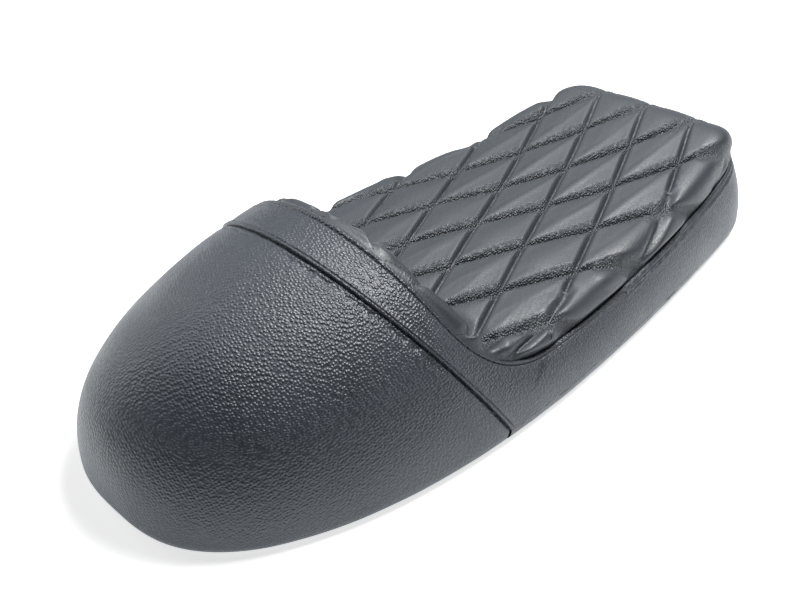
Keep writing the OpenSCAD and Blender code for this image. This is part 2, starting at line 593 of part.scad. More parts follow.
function fix_spots() = [for (i = [-1, 1]) for (s = [-1, 1]) [fix_x + i * fix_dx / 2, s * fix_dy / 2]];
function rivet_spots(i) = [for (y = [-rivet_at, 0, rivet_at]) [fix_x + i * fix_dx / 2, y]];
module at(spots) { for (p = spots) translate([p.x, p.y, 0]) children(); }
module pan_ribs() {
    x_ribs = floor(seat_l / 2 / rib_pitch) - 1;
    translate([0, 0, floor_z - rib_h]) {
        for (x = [-x_ribs:x_ribs])
            translate([x * rib_pitch - rib_t / 2, -mid_w / 2, 0]) cube([rib_t, mid_w, rib_h + 1]);
        for (y = [-1:1])
            translate([tail_x, y * rib_pitch - rib_t / 2, 0]) cube([seat_l, rib_t, rib_h + 1]);
    }
}
module base_pan() {
    color([0.16, 0.16, 0.17]) difference() {
        union() {
            difference() {
                translate([0, 0, rim_z]) linear_extrude(floor_top - rim_z) pan_plan(rim_inset);
                translate([0, 0, -1]) linear_extrude(floor_z + 1) pan_plan(rim_inset + rim_t);
            }
            intersection() {
                translate([0, 0, floor_z - rib_h]) linear_extrude(rib_h + 1)
                    pan_plan(rim_inset + rim_t + rim_clear);
                pan_ribs();
            }
            at(bumper_spots()) translate([0, 0, boss_end])
                cylinder(floor_z - boss_end + 1, r = boss_r, $fn = round_fn);
        }
        // Room for the straps and for the bumpers between the ribs
        for (i = [-1, 1]) translate([fix_x + i * fix_dx / 2 - strap_w / 2 - 1, -strap_len / 2 - 1, 0])
            cube([strap_w + 2, strap_len + 2, floor_z]);
        at(bumper_spots()) difference() {
            translate([0, 0, 1]) cylinder(floor_z - 1, r = bumper_r + 1, $fn = large_fn);
            cylinder(floor_z + 1, r = boss_r, $fn = round_fn);
        }
        at(bumper_spots()) cylinder(floor_top - 1, r = screw_r, $fn = small_fn);
        at(fix_spots()) cylinder(floor_top + 1, r = fix_hole_r, $fn = round_fn);
        at(concat(rivet_spots(-1), rivet_spots(1))) {
            cylinder(floor_top + 1, r = rivet_r, $fn = small_fn);
            translate([0, 0, floor_top - set_head_h]) cylinder(2, r = set_head_r, $fn = small_fn);
        }
        for (x = [-0.5, 2.5], s = [-0.5, 0.5])
            translate([x * rib_pitch, s * rib_pitch, 0])
                cylinder(floor_top + 1, r = drain_r, $fn = round_fn);
    }
}

/* Steel straps under the floor of the pan, with their weld nuts and rivets */
strap_z = floor_z - strap_t;
strap_corner_r = 5;
strap_hole_r = nut_bore_r + 1.1;
module strap(i) {
    color([0.3, 0.3, 0.32]) translate([0, 0, strap_z]) linear_extrude(strap_t) difference() {
        translate([fix_x + i * fix_dx / 2, 0]) hull() for (s = [-1, 1], t = [-1, 1])
            translate([s * (strap_w / 2 - strap_corner_r), t * (strap_len / 2 - strap_corner_r)])
                circle(strap_corner_r, $fn = small_fn);
        at(fix_spots()) circle(strap_hole_r, $fn = round_fn);
        at(rivet_spots(i)) circle(rivet_r, $fn = small_fn);
    }
}
module front_strap() { strap(1); }
module rear_strap() { strap(-1); }
module weld_nuts() {
    chamfer_r = nut_af * 0.535;
    color([0.75, 0.72, 0.6]) at(fix_spots()) translate([0, 0, strap_z - nut_h]) difference() {
        intersection() {
            cylinder(nut_h, r = nut_af / sqrt(3), $fn = 6);
            cylinder(nut_h, r1 = chamfer_r, r2 = nut_af, $fn = large_fn);
        }
        translate([0, 0, -1]) cylinder(nut_h + 2, r = nut_bore_r, $fn = large_fn);
    }
}
module strap_rivets() {
    head_h = 1.6;
    dome_r = head_h + 1.4;
    color([0.7, 0.7, 0.72]) at(concat(rivet_spots(-1), rivet_spots(1))) {
        translate([0, 0, strap_z - head_h]) rotate_extrude($fn = round_fn) intersection() {
            translate([0, dome_r]) circle(dome_r, $fn = large_fn);
            square([2 * rivet_r, head_h]);
        }
        translate([0, 0, strap_z]) cylinder(floor_top - strap_z, r = rivet_r, $fn = small_fn);
        translate([0, 0, floor_top - set_head_h]) cylinder(set_head_h, r = set_head_r, $fn = small_fn);
    }
}

/* Rubber bumpers on the bosses of the pan, each held by a washer and a screw */
washer_r = 7.5;
washer_t = 1.1;
bumper_fit = 0.1;
bumper_edge = 1.5;
module rubber_bumpers() {
    base = floor_z - bumper_h;
    color([0.07, 0.07, 0.07]) at(bumper_spots()) rotate_extrude($fn = large_fn) difference() {
        polygon([[0, base], [bumper_r - bumper_edge, base], [bumper_r, base + bumper_edge],
            [bumper_r, floor_z - bumper_edge], [bumper_r - bumper_edge / 2, floor_z], [0, floor_z]]);
        square([boss_r + bumper_fit, floor_z + 1]);
        square([washer_r + 4 * bumper_fit, boss_end]);
    }
}
module bumper_washers() {
    color([0.75, 0.75, 0.76]) at(bumper_spots()) translate([0, 0, boss_end - washer_t])
        difference() {
            cylinder(washer_t, r = washer_r, $fn = large_fn);
            translate([0, 0, -1]) cylinder(washer_t + 2, r = screw_r + 2 * bumper_fit, $fn = small_fn);
        }
}
module bumper_screws() {
    head_r = 3.8;
    head_h = 2.4;
    head_edge = 0.5;
    slot_l = 4.4;
    slot_w = 0.8;
    slot_d = 1.2;
    screw_grip = 9;
    color([0.72, 0.72, 0.74]) at(bumper_spots()) translate([0, 0, boss_end - washer_t]) {
        difference() {
            rotate_extrude($fn = round_fn) polygon([[0, -head_h], [head_r - 3 * head_edge, -head_h],
                [head_r - head_edge, -2 * head_h / 3], [head_r, -head_edge], [head_r, 0], [0, 0]]);
            for (r = [0, 90]) rotate(r) translate([-slot_l / 2, -slot_w / 2, -head_h - 1])
                cube([slot_l, slot_w, slot_d + 1]);
        }
        cylinder(washer_t + screw_grip, r = screw_r, $fn = small_fn);
    }
}

hump_cover();
side_band();
quilted_panel();
rear_seam_tape();
hump_foam();
seat_foam();
base_pan();
front_strap();
rear_strap();
weld_nuts();
strap_rivets();
rubber_bumpers();
bumper_washers();
bumper_screws();
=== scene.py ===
"""A cafe racer seat: a humped, diamond quilted pad on a moulded pan.

The covers, the quilting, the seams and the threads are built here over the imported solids.
Sizes are in millimetres in the seat's own frame: X forward, Y to the rider's left, Z up.
"""
from __future__ import annotations

import logging
import math
from dataclasses import dataclass, field
from enum import Enum

import bmesh
import bpy
import numpy as np
from mathutils import Matrix, Vector, geometry, noise


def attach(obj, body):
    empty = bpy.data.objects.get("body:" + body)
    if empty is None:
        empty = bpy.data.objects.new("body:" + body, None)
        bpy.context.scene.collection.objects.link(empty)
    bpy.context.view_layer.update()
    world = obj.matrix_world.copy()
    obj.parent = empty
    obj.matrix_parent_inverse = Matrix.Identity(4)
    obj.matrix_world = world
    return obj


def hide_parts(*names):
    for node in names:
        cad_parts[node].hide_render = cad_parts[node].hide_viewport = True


LOG = logging.getLogger("seat")
MM = 0.001
Point = tuple[float, float, float]
Socket = bpy.types.NodeSocket
Station = tuple[int, float, float]
PHOTO_W = 800
SENSOR_W = 36
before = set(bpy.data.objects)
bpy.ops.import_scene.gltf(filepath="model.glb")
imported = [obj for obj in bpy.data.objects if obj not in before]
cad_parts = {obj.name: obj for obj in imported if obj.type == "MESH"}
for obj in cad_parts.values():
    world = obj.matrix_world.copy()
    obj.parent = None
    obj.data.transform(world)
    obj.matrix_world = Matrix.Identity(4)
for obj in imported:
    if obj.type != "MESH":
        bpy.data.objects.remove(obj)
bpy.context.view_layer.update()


def mix(a: float, b: float, t: float) -> float:
    """Returns the value a share t of the way from a to b."""
    return a + (b - a) * t


def smooth(t: float) -> float:
    """Returns an eased step from 0 to 1 over t from 0 to 1."""
    c = min(max(t, 0.0), 1.0)
    return c * c * (3 - 2 * c)


def bump_at(d: float, centre: float, width: float) -> float:
    """Returns a rounded hill of height 1 at centre, down to 0 at width to either side."""
    return smooth(1 - abs(d - centre) / width)


def wander(p: Vector, scale: float, seed: float = 0.0) -> float:
    """Returns smooth noise from -1 to 1 at a point.

    Args:
        p: The point, in millimetres.
        scale: The size of the noise's hills, in millimetres.
        seed: An offset that gives another pattern.

    Returns:
        The noise's value.
    """
    return noise.noise(p / scale + Vector((seed, seed * 1.7, -seed)))


@dataclass(frozen=True)
class SeatSizes:
    """The sizes that the seat's solids are built from, in millimetres."""

    seat_l: float = 600.0
    nose_w: float = 180.0
    mid_w: float = 272.0
    tail_w: float = 280.0
    nose_run: float = 82.0
    nose_n: float = 4.0
    tail_run: float = 364.0
    tail_n: float = 2.84
    hump_h: float = 147.0
    hump_rise: float = 13.0
    hump_run: float = 265.0
    hump_n: float = 3.2
    dome_p: float = 1.85
    dome_q: float = 2.05
    rear_seam_top_x: float = -155.0
    rear_seam_foot_x: float = -68.0
    lip_top_x: float = -116.0
    lip_foot_x: float = -61.0
    seam_bend: float = 54.0
    bulge_z: float = 11.0
    seam_z: float = 45.0
    seam_rise: float = 12.0
    low_x: float = 30.0
    seam_inset: float = 11.0
    flank_n: float = 2.4
    seat_h: float = 65.0
    nose_rise: float = 41.5
    nose_roll: float = 62.0
    crown: float = 3.5
    shoulder: float = 16.0
    face_tilt: float = 64.0
    diamond_l: float = 107.5
    diamond_w: float = 48.0
    quilt_x: float = 40.0
    puff: float = 8.0
    cover_t: float = 1.5
    rim_inset: float = 10.0
    rim_t: float = 4.5
    hem_h: float = 13.0
    seat_sink: float = 0.06
    nose_curve: float = 2.2
    nose_roll_n: float = 2.1
    face_top: float = 188.1


class SeatForm:
    """The curves and surfaces that the solids and the covers share."""

    def __init__(self, sizes: SeatSizes) -> None:
        """Works out the places that follow from the sizes.

        Args:
            sizes: The seat's sizes.
        """
        self.z = sizes
        s = sizes
        self.nose_x = s.seat_l / 2
        self.tail_x = -s.seat_l / 2
        self.nose_end_x = self.nose_x - s.nose_run
        self.tail_end_x = self.tail_x + s.tail_run
        bend_z = self.seam_h(s.lip_foot_x)
        self.bend_c = (mix(s.lip_foot_x, s.lip_top_x, bend_z / s.hump_h), bend_z)
        up = Vector((s.lip_top_x - s.lip_foot_x, s.hump_h)).normalized() * s.seam_bend
        self.bend_top = (self.bend_c[0] + up.x, self.bend_c[1] + up.y)
        self.bend_end_x = self.bend_c[0] + s.seam_bend
        self.bend_end_u = self.plan_u(self.bend_end_x)
        self.lip_a = self.dome_a(*self.bend_top)
        self.foot_t = s.diamond_l
        self.foot_x = s.quilt_x - self.foot_t
        self.foot_z = self.seat_top(self.foot_x)
        self.tilt = math.radians(s.face_tilt)

    @staticmethod
    def fall(d: float, run: float, n: float) -> float:
        """Returns the share of full size at a distance from an end.

        Args:
            d: The distance from the end.
            run: The length over which the end rounds off.
            n: The squareness of the rounding.

        Returns:
            A share from 0 to 1.
        """
        if d >= run:
            return 1.0
        return max(1 - (1 - max(d, 0.0) / run) ** n, 0.0) ** (1 / n)

    def half_w(self, x: float) -> float:
        """Returns half of the seat's width at x.

        Args:
            x: The place along the seat.

        Returns:
            Half of the width, in millimetres.
        """
        s = self.z
        t = (x - self.tail_x) / s.seat_l
        flank = (s.tail_w * (1 - t) * (1 - 2 * t) + 4 * s.mid_w * t * (1 - t)
                 + s.nose_w * t * (2 * t - 1)) / 2
        return (flank * self.fall(self.nose_x - x, s.nose_run, s.nose_n)
                * self.fall(x - self.tail_x, s.tail_run, s.tail_n))

    def plan_x(self, u: float) -> float:
        """Returns the x of a station on the outline, 0 at the nose and 3 at the tail.

        Args:
            u: The station on the outline.

        Returns:
            The place along the seat.
        """
        s = self.z
        if u <= 1:
            return self.nose_x - s.nose_run * (1 - max(math.cos(math.pi / 2 * u), 0) ** (2 / s.nose_n))
        if u <= 2:
            return mix(self.nose_end_x, self.tail_end_x, u - 1)
        c = max(math.cos(math.pi / 2 * (3 - min(u, 3))), 0)
        return self.tail_x + s.tail_run * (1 - c ** (2 / s.tail_n))

    def plan_u(self, x: float) -> float:
        """Returns the station on the outline at x.

        Args:
            x: The place along the seat.

        Returns:
            The station, 0 at the nose and 3 at the tail.
        """
        s = self.z
        if x >= self.nose_end_x:
            c = (1 - min(max(self.nose_x - x, 0) / s.nose_run, 1)) ** (s.nose_n / 2)
            return math.acos(min(c, 1)) / (math.pi / 2)
        if x >= self.tail_end_x:
            return 1 + (self.nose_end_x - x) / (self.nose_end_x - self.tail_end_x)
        c = (1 - min(max(x - self.tail_x, 0) / s.tail_run, 1)) ** (s.tail_n / 2)
        return 3 - math.acos(min(c, 1)) / (math.pi / 2)

    def plan_p(self, u: float) -> Vector:
        """Returns the outline's point at a station, on the left."""
        x = self.plan_x(u)
        return Vector((x, self.half_w(x)))

    def plan_n(self, u: float) -> Vector:
        """Returns the outline's inward direction at a station, on the left.

        Args:
            u: The station on the outline.

        Returns:
            A direction of length 1 in plan.
        """
        if u <= 0.001:
            return Vector((-1.0, 0.0))
        if u >= 2.999:
            return Vector((1.0, 0.0))
        t = (self.plan_p(min(u + 0.01, 3)) - self.plan_p(max(u - 0.01, 0))).normalized()
        return Vector((-t.y, t.x))

    def rim_p(self, u: float, inset: float, z: float, side: int) -> Vector:
        """Returns a point at an inset from the outline.

        Args:
            u: The station on the outline.
            inset: How far inside the outline the point lies.
            z: The point's height.
            side: 1 on the left, -1 on the right.

        Returns:
            The point.
        """
        p = self.plan_p(u) + self.plan_n(u) * inset
        return Vector((p.x, side * p.y, z))

    def crown_z(self, x: float) -> float:
        """Returns the hump's height over the widest line at x.

        Args:
            x: The place along the seat.

        Returns:
            The height.
        """
        s = self.z
        top = s.hump_h + s.hump_rise * (x - s.lip_top_x) / 100 - s.bulge_z
        return top * self.fall(x - self.tail_x, s.hump_run, s.hump_n)

    def flank_in(self, z: float) -> float:
        """Returns how far the flank leans in at a height."""
        s = self.z
        return s.seam_inset * (max(z - s.bulge_z, 0) / (s.seam_z - s.bulge_z)) ** s.flank_n

    def dome(self, x: float, a: float, e: float) -> Vector:
        """Returns a point of the hump.

        Args:
            x: The place along the seat.
            a: The section angle in degrees, 0 right, 90 crown, 180 left.
            e: How far inside the surface the point lies.

        Returns:
            The point.
        """
        s = self.z
        c = math.cos(math.radians(a))
        w = self.half_w(x)
        y = w * abs(c) ** (2 / s.dome_p)
        h = self.crown_z(x) * max(math.sin(math.radians(a)), 0) ** (2 / s.dome_q)
        lean = smooth((x - s.lip_top_x) / (s.low_x - s.lip_top_x) * 1.6)
        flank = w - mix(w - y, self.flank_in(h + s.bulge_z), lean)
        kx = e / (s.lip_top_x - self.tail_x)
        return Vector((mix(x, s.lip_top_x, kx) if x < s.lip_top_x else x,
                       (-1 if c > 0 else 1) * flank * (1 - e / (s.tail_w / 2)),
                       s.bulge_z + h * (1 - e / (s.hump_h - s.bulge_z))))

    def dome_a(self, x: float, z: float) -> float:
        """Returns the section angle, in degrees, at which the hump has a height.

        Args:
            x: The place along the seat.
            z: The height.

        Returns:
            The angle, 90 at most.
        """
        s = self.z
        k = min(max(z - s.bulge_z, 0) / self.crown_z(x), 1) ** (s.dome_q / 2)
        return math.degrees(math.asin(k))

    def on_line(self, a: float, top_x: float, foot_x: float) -> float:
        """Returns the x at which a section angle meets a leaning seam line.

        Args:
            a: The section angle in degrees.
            top_x: The line's place at the hump's full height.
            foot_x: The line's place at the ground.

        Returns:
            The place along the seat.
        """
        x = foot_x
        for _ in range(8):
            x = mix(foot_x, top_x, self.dome(x, a, 0).z / self.z.hump_h)
        return x

    def rear_x(self, a: float) -> float:
        """Returns the rear seam's x at a section angle."""
        return self.on_line(a, self.z.rear_seam_top_x, self.z.rear_seam_foot_x)

    def lip_x(self, a: float) -> float:
        """Returns the lip seam's x at a section angle."""
        return self.on_line(a, self.z.lip_top_x, self.z.lip_foot_x)

    def seam_h(self, x: float) -> float:
        """Returns the shoulder seam's height at x."""
        s = self.z
        return s.seam_z + s.seam_rise * ((x - s.low_x) / 200) ** 2

    def flank_p(self, u: float, z: float, e: float, side: int) -> Vector:
        """Returns a point of the skirt.

        Args:
            u: The station on the outline.
            z: The point's height.
            e: How far inside the surface the point lies.
            side: 1 on the left, -1 on the right.

        Returns:
            The point.
        """
        s = self.z
        k = (z - s.bulge_z) / (self.seam_h(self.plan_x(u)) - s.bulge_z)
        return self.rim_p(u, s.seam_inset * max(k, 0) ** s.flank_n + e, z, side)

    def upper_xa(self, v: float) -> tuple[float, float]:
        """Returns the border seam's x and section angle past the shoulder, v from 0 to 2.

        Args:
            v: The place past the shoulder: 1 at the bend, 2 at the crown.

        Returns:
            The place along the seat and the section angle in degrees.
        """
        if v < 1:
            a, b, c = (self.bend_end_x, self.seam_h(self.bend_end_x)), self.bend_c, self.bend_top
            x, z = (a[i] * (1 - v) ** 2 + 2 * b[i] * v * (1 - v) + c[i] * v * v for i in (0, 1))
            return x, self.dome_a(x, z)
        angle = mix(self.lip_a, 90, v - 1)
        return self.lip_x(angle), angle

    def border_p(self, v: float, side: int) -> Vector:
        """Returns the border seam's point.

        Args:
            v: The station, 0 at the nose, 2 at the bend and 4 at the hump's crown.
            side: 1 on the left, -1 on the right.

        Returns:
            The point.
        """
        if v <= 2:
            u = v if v <= 1 else mix(1, self.bend_end_u, v - 1)
            return self.flank_p(u, self.seam_h(self.plan_x(u)), 0, side)
        x, a = self.upper_xa(v - 2)
        p = self.dome(x, a, 0)
        return Vector((p.x, -side * p.y, p.z))

    def border_in(self, v: float, side: int) -> Vector:
        """Returns the direction from the border seam into the seat.

        Args:
            v: The place on the border seam.
            side: 1 on the left, -1 on the right.

        Returns:
            A direction of length 1.
        """
        if v <= 2:
            n = self.plan_n(v if v <= 1 else mix(1, self.bend_end_u, v - 1))
            return Vector((n.x, side * n.y, 0))
        n, f = self.plan_n(self.bend_end_u), smooth(v - 2)
        return Vector((mix(n.x, 1, f), side * mix(n.y, 0, f), 0)).normalized()

    def ditch_p(self, v: float, side: int) -> Vector:
        """Returns the bottom of the border seam, where the band and the panel meet.

        Args:
            v: The place on the border seam.
            side: 1 on the left, -1 on the right.

        Returns:
            The point.
        """
        up = smooth(v - 2)
        inward = self.border_in(v, side) * mix(1.7, 1.0, up)
        return self.border_p(v, side) + inward - Vector((0, 0, mix(1.5, 2.2, up)))

    def seat_top(self, x: float) -> float:
        """Returns the height of the stitch lines in the middle of the seat.

        Args:
            x: The place along the seat.

        Returns:
            The height.
        """
        s = self.z
        rise = s.nose_rise * (max(x - s.low_x, 0) / (self.nose_x - s.low_x)) ** s.nose_curve
        level = s.seat_h + rise - s.seat_sink * max(s.low_x - x, 0)
        return level * self.fall(self.nose_x - x, s.nose_roll, s.nose_roll_n)

    def spine(self, t: float) -> Vector:
        """Returns the middle of the quilting at a distance t back along the panel.

        Args:
            t: The distance back along the panel.

        Returns:
            The point.
        """
        if t <= self.foot_t:
            x = self.z.quilt_x - t
            return Vector((x, 0, self.seat_top(x)))
        d = t - self.foot_t
        return Vector((self.foot_x - d * math.cos(self.tilt), 0, self.foot_z + d * math.sin(self.tilt)))

    def spine_n(self, t: float) -> Vector:
        """Returns the direction out of the panel's middle at t.

        Args:
            t: The distance back along the panel.

        Returns:
            A direction of length 1.
        """
        if t >= self.foot_t:
            return Vector((math.sin(self.tilt), 0, math.cos(self.tilt)))
        d = self.spine(t - 1) - self.spine(t + 1)
        return Vector((-d.z, 0, d.x)).normalized()

    def stitch_plane(self, t: float, y: float) -> Vector:
        """Returns the point of the surface that the stitch lines lie in."""
        drop = self.z.crown * (abs(y) / 100) ** 2.5
        return self.spine(t) + Vector((0, y, 0)) - self.spine_n(t) * drop


class Nodes:
    """Adds and links the nodes of one tree."""

    def __init__(self, tree: bpy.types.NodeTree) -> None:
        """Takes the tree that the nodes go into."""
        self.tree = tree

    def add(self, kind: str, links: dict[str | int, Socket | None] | None = None,
            values: dict[str | int, object] | None = None, **props: object) -> bpy.types.Node:
        """Adds one node.

        Args:
            kind: The node's type name.
            links: For input names or numbers, the output to link.
            values: For input names or numbers, the value to set.
            **props: The node's own settings.

        Returns:
            The node.
        """
        node = self.tree.nodes.new(kind)
        for key, value in props.items():
            setattr(node, key, value)
        for key, value in (values or {}).items():
            node.inputs[key].default_value = value
        for key, source in (links or {}).items():
            self.tree.links.new(source, node.inputs[key])
        return node

    def math(self, operation: str, *terms: Socket | float) -> Socket:
        """Adds a Math node and returns its output.

        Args:
            operation: The node's operation.
            *terms: Its inputs, as outputs to link or as values.

        Returns:
            The node's output.
        """
        node = self.add("ShaderNodeMath", operation=operation)
        for i, term in enumerate(terms):
            if isinstance(term, (int, float)):
                node.inputs[i].default_value = term
            else:
                self.tree.links.new(term, node.inputs[i])
        return node.outputs[0]

    def noise(self, place: Socket, scale: float, detail: float) -> Socket:
        """Adds a noise texture and returns its value."""
        values = {"Scale": scale, "Detail": detail}
        return self.add("ShaderNodeTexNoise", {"Vector": place}, values).outputs["Fac"]

    def blend(self, factor: Socket, low: Point, high: Point) -> Socket:
        """Adds a mix of two colours.

        Args:
            factor: 0 for the first colour, 1 for the second.
            low: The first colour.
            high: The second colour.

        Returns:
            The node's output.
        """
        node = self.add("ShaderNodeMix", {0: factor}, {6: (*low, 1), 7: (*high, 1)},
                        data_type="RGBA", blend_type="MIX")
        return node.outputs[2]

    def ramp(self, factor: Socket, low: float, high: float, to_low: float = 0.0,
             to_high: float = 1.0) -> Socket:
        """Adds a smooth Map Range.

        Args:
            factor: The value to map.
            low: The value that gives to_low.
            high: The value that gives to_high.
            to_low: The result at and below low.
            to_high: The result at and above high.

        Returns:
            The node's output.
        """
        node = self.add("ShaderNodeMapRange", {"Value": factor},
                        {"From Min": low, "From Max": high, "To Min": to_low, "To Max": to_high},
                        interpolation_type="SMOOTHSTEP")
        return node.outputs["Result"]


def shader_tree(owner: bpy.types.Material | bpy.types.World) -> Nodes:
    """Empties the node tree of a material or a world.

    Args:
        owner: The material or the world.

    Returns:
        What adds nodes to the tree.
    """
    owner.use_nodes = True
    owner.node_tree.nodes.clear()
    return Nodes(owner.node_tree)


@dataclass(frozen=True)
class Grained:
    """Grained vinyl: pebbles a few millimetres wide over a fine tooth.

    Attributes:
        name: The material's name.
        colour: The colour of the vinyl.
        rough: Its roughness.
        pebble: The width of a pebble, in millimetres.
        depth: The depth of the lines between pebbles, in millimetres.
        quilted: Whether the grain fades where the quilting stretches the vinyl flat.
    """

    name: str
    colour: tuple[float, float, float] = (0.022, 0.029, 0.042)
    rough: float = 0.35
    pebble: float = 2.5
    depth: float = 0.45
    quilted: bool = False

    def make(self) -> bpy.types.Material:
        """Builds the material.

        Returns:
            The material.
        """
        mat = bpy.data.materials.new(self.name)
        n = shader_tree(mat)
        place = n.add("ShaderNodeTexCoord").outputs["Object"]
        # The pebbles lean back along the hide, and their lines wander
        turned = n.add("ShaderNodeMapping", {"Vector": place},
                       {"Rotation": (0.35, 0.25, 0.6), "Scale": (1.0, 0.8, 1.0)}).outputs[0]
        drift = n.add("ShaderNodeTexNoise", {"Vector": turned},
                      {"Scale": 1 / (self.pebble * 1.6 * MM), "Detail": 1.0}).outputs["Color"]
        bent = n.add("ShaderNodeVectorMath", {0: drift, 2: turned},
                     {1: (self.pebble * 0.3 * MM,) * 3}, operation="MULTIPLY_ADD").outputs[0]
        cells = n.add("ShaderNodeTexVoronoi", {"Vector": bent},
                      {"Scale": 1 / (self.pebble * MM), "Randomness": 0.6},
                      feature="F1").outputs["Distance"]
        pebbles = n.ramp(cells, 0.08, 0.78, 1.0, 0.0)
        fine = n.noise(place, 1900.0, 2.0)
        broad = n.noise(place, 22.0, 3.0)
        height = n.math("MULTIPLY_ADD", fine, 0.16, pebbles)
        links: dict[str | int, Socket | None] = {"Height": height}
        if self.quilted:
            lines = n.add("ShaderNodeAttribute", attribute_name="turned").outputs["Fac"]
            links["Strength"] = n.ramp(lines, 0.0, 0.75, 0.10, 1.0)
        bump = n.add("ShaderNodeBump", links, {"Distance": self.depth * MM, "Strength": 0.9})
        # Painted shade: the colour darkens to 0.72 in the pebbles' valleys, times a broad random tone of the vinyl
        painted_shade_and_blotch = n.math("MULTIPLY", n.ramp(pebbles, 0.0, 1.0, 0.72, 1.04),
                       n.ramp(broad, 0.3, 0.7, 0.88, 1.12))
        tone = n.blend(painted_shade_and_blotch, (0, 0, 0), self.colour)
        rough = n.math("ADD", n.ramp(pebbles, 0.0, 1.0, self.rough + 0.12, self.rough),
                       n.ramp(broad, 0.25, 0.75, -0.05, 0.05))
        surface = n.add("ShaderNodeBsdfPrincipled",
                        {"Base Color": tone, "Roughness": rough, "Normal": bump.outputs[0]},
                        {"IOR": 1.65})
        n.add("ShaderNodeOutputMaterial", {"Surface": surface.outputs[0]})
        return mat


@dataclass(frozen=True)
class Plain:
    """A hard or woven finish: a colour with blotches, a fine tooth and a roughness of its own.

    Attributes:
        name: The material's name.
        colour: Its colour.
        rough: Its roughness.
        metallic: Its metalness.
        tooth: The size of the fine tooth, in millimetres.
        depth: The depth of the tooth, in millimetres.
        blotch: How far the colour and the roughness vary.
        grain: How the tooth is stretched along X, Y and Z.
    """

    name: str
    colour: tuple[float, float, float]
    rough: float
    metallic: float = 0.0
    tooth: float = 0.5
    depth: float = 0.03
    blotch: float = 0.12
    grain: tuple[float, float, float] = (1.0, 1.0, 1.0)

    def make(self) -> bpy.types.Material:
        """Builds the material.

        Returns:
            The material.
        """
        mat = bpy.data.materials.new(self.name)
        n = shader_tree(mat)
        place = n.add("ShaderNodeTexCoord").outputs["Object"]
        drawn = n.add("ShaderNodeMapping", {"Vector": place}, {"Scale": self.grain}).outputs[0]
        tooth = n.noise(drawn, 1 / (self.tooth * MM), 3.0)
        broad = n.noise(place, 45.0, 4.0)
        bump = n.add("ShaderNodeBump", {"Height": tooth}, {"Distance": self.depth * MM, "Strength": 0.8})
        # Painted shade: the colour is darker in the fine tooth's hollows, times blotches of random tone
        painted_shade_and_blotch = n.math("MULTIPLY", n.ramp(broad, 0.3, 0.7, 1 - self.blotch, 1 + self.blotch),
                       n.ramp(tooth, 0.3, 0.7, 0.93, 1.05))
        tone = n.blend(painted_shade_and_blotch, (0, 0, 0), self.colour)
        rough = n.ramp(broad, 0.3, 0.7, self.rough - self.blotch * 0.4, self.rough + self.blotch * 0.5)
        surface = n.add("ShaderNodeBsdfPrincipled",
                        {"Base Color": tone, "Roughness": rough, "Normal": bump.outputs[0]},
                        {"Metallic": self.metallic, "IOR": 1.5})
        n.add("ShaderNodeOutputMaterial", {"Surface": surface.outputs[0]})
        return mat


class Finish(Enum):
    """The finishes of the seat."""

    HUMP = Grained("hump_vinyl", pebble=1.95, depth=0.46)
    BAND = Grained("band_vinyl", pebble=1.95, depth=0.42)
    QUILT = Grained("quilt_vinyl", (0.030, 0.036, 0.044), 0.42, 1.7, 0.6, True)
    THREAD = Plain("thread", (0.016, 0.016, 0.018), 0.6, tooth=0.25, depth=0.08)
    PAN = Plain("pan_plastic", (0.028, 0.028, 0.030), 0.55, tooth=0.45, depth=0.05)
    STRAP = Plain("strap_coat", (0.03, 0.03, 0.031), 0.42, tooth=1.3, depth=0.03)
    PLATED = Plain("plated_steel", (0.60, 0.57, 0.50), 0.33, 1.0, 0.35, 0.012, 0.2, (1.0, 1.0, 6.0))
    RIVET = Plain("rivet_aluminium", (0.72, 0.72, 0.74), 0.38, 1.0, 0.4, 0.015, 0.15)
    RUBBER = Plain("bumper_rubber", (0.022, 0.022, 0.023), 0.72, tooth=0.7, depth=0.06)


class Finishes:
    """Makes each finish once, when it is first asked for."""

    def __init__(self) -> None:
        """Starts with no material made."""
        self.made: dict[Finish, bpy.types.Material] = {}

    def get(self, finish: Finish) -> bpy.types.Material:
        """Returns the finish's material.

        Args:
            finish: The finish.

        Returns:
            Its material.
        """
        if finish not in self.made:
            self.made[finish] = finish.value.make()
        return self.made[finish]


def mesh_piece(name: str, points: list[Vector], faces: list[tuple[int, ...]],
               material: bpy.types.Material) -> bpy.types.Object:
    """Makes a smooth mesh piece from points in millimetres.

    Args:
        name: The piece's name.
        points: Its points.
        faces: Its faces, as indices of points.
        material: Its finish.

    Returns:
        The piece, linked into the scene.
    """
    mesh = bpy.data.meshes.new(name)
    mesh.from_pydata([tuple(p * MM) for p in points], [], faces)
    mesh.polygons.foreach_set("use_smooth", [True] * len(mesh.polygons))
    mesh.materials.append(material)
    mesh.update()
    piece = bpy.data.objects.new(name, mesh)
    bpy.context.scene.collection.objects.link(piece)
    return piece


def grid_quads(rows: int, cols: int, closed: bool = False, start: int = 0,
               flip: bool = False) -> list[tuple[int, ...]]:
    """Returns the quads of a grid whose points run row by row.

    Args:
        rows: The number of rows.
        cols: The number of points in a row.
        closed: Whether each row closes on itself.
        start: The index of the grid's first point.
        flip: Whether the faces turn the other way.

    Returns:
        The quads.
    """
    quads = []
    for i in range(rows - 1):
        for j in range(cols if closed else cols - 1):
            a, b = start + i * cols + j, start + i * cols + (j + 1) % cols
            quad = (a, b, b + cols, a + cols)
            quads.append(quad[::-1] if flip else quad)
    return quads


def applied(piece: bpy.types.Object) -> bpy.types.Object:
    """Applies a piece's modifiers to its mesh and returns the piece.

    Args:
        piece: The piece.

    Returns:
        The same piece.
    """
    graph = bpy.context.evaluated_depsgraph_get()
    mesh = bpy.data.meshes.new_from_object(piece.evaluated_get(graph), depsgraph=graph)
    mesh.name = piece.name
    piece.modifiers.clear()
    piece.data = mesh
    return piece


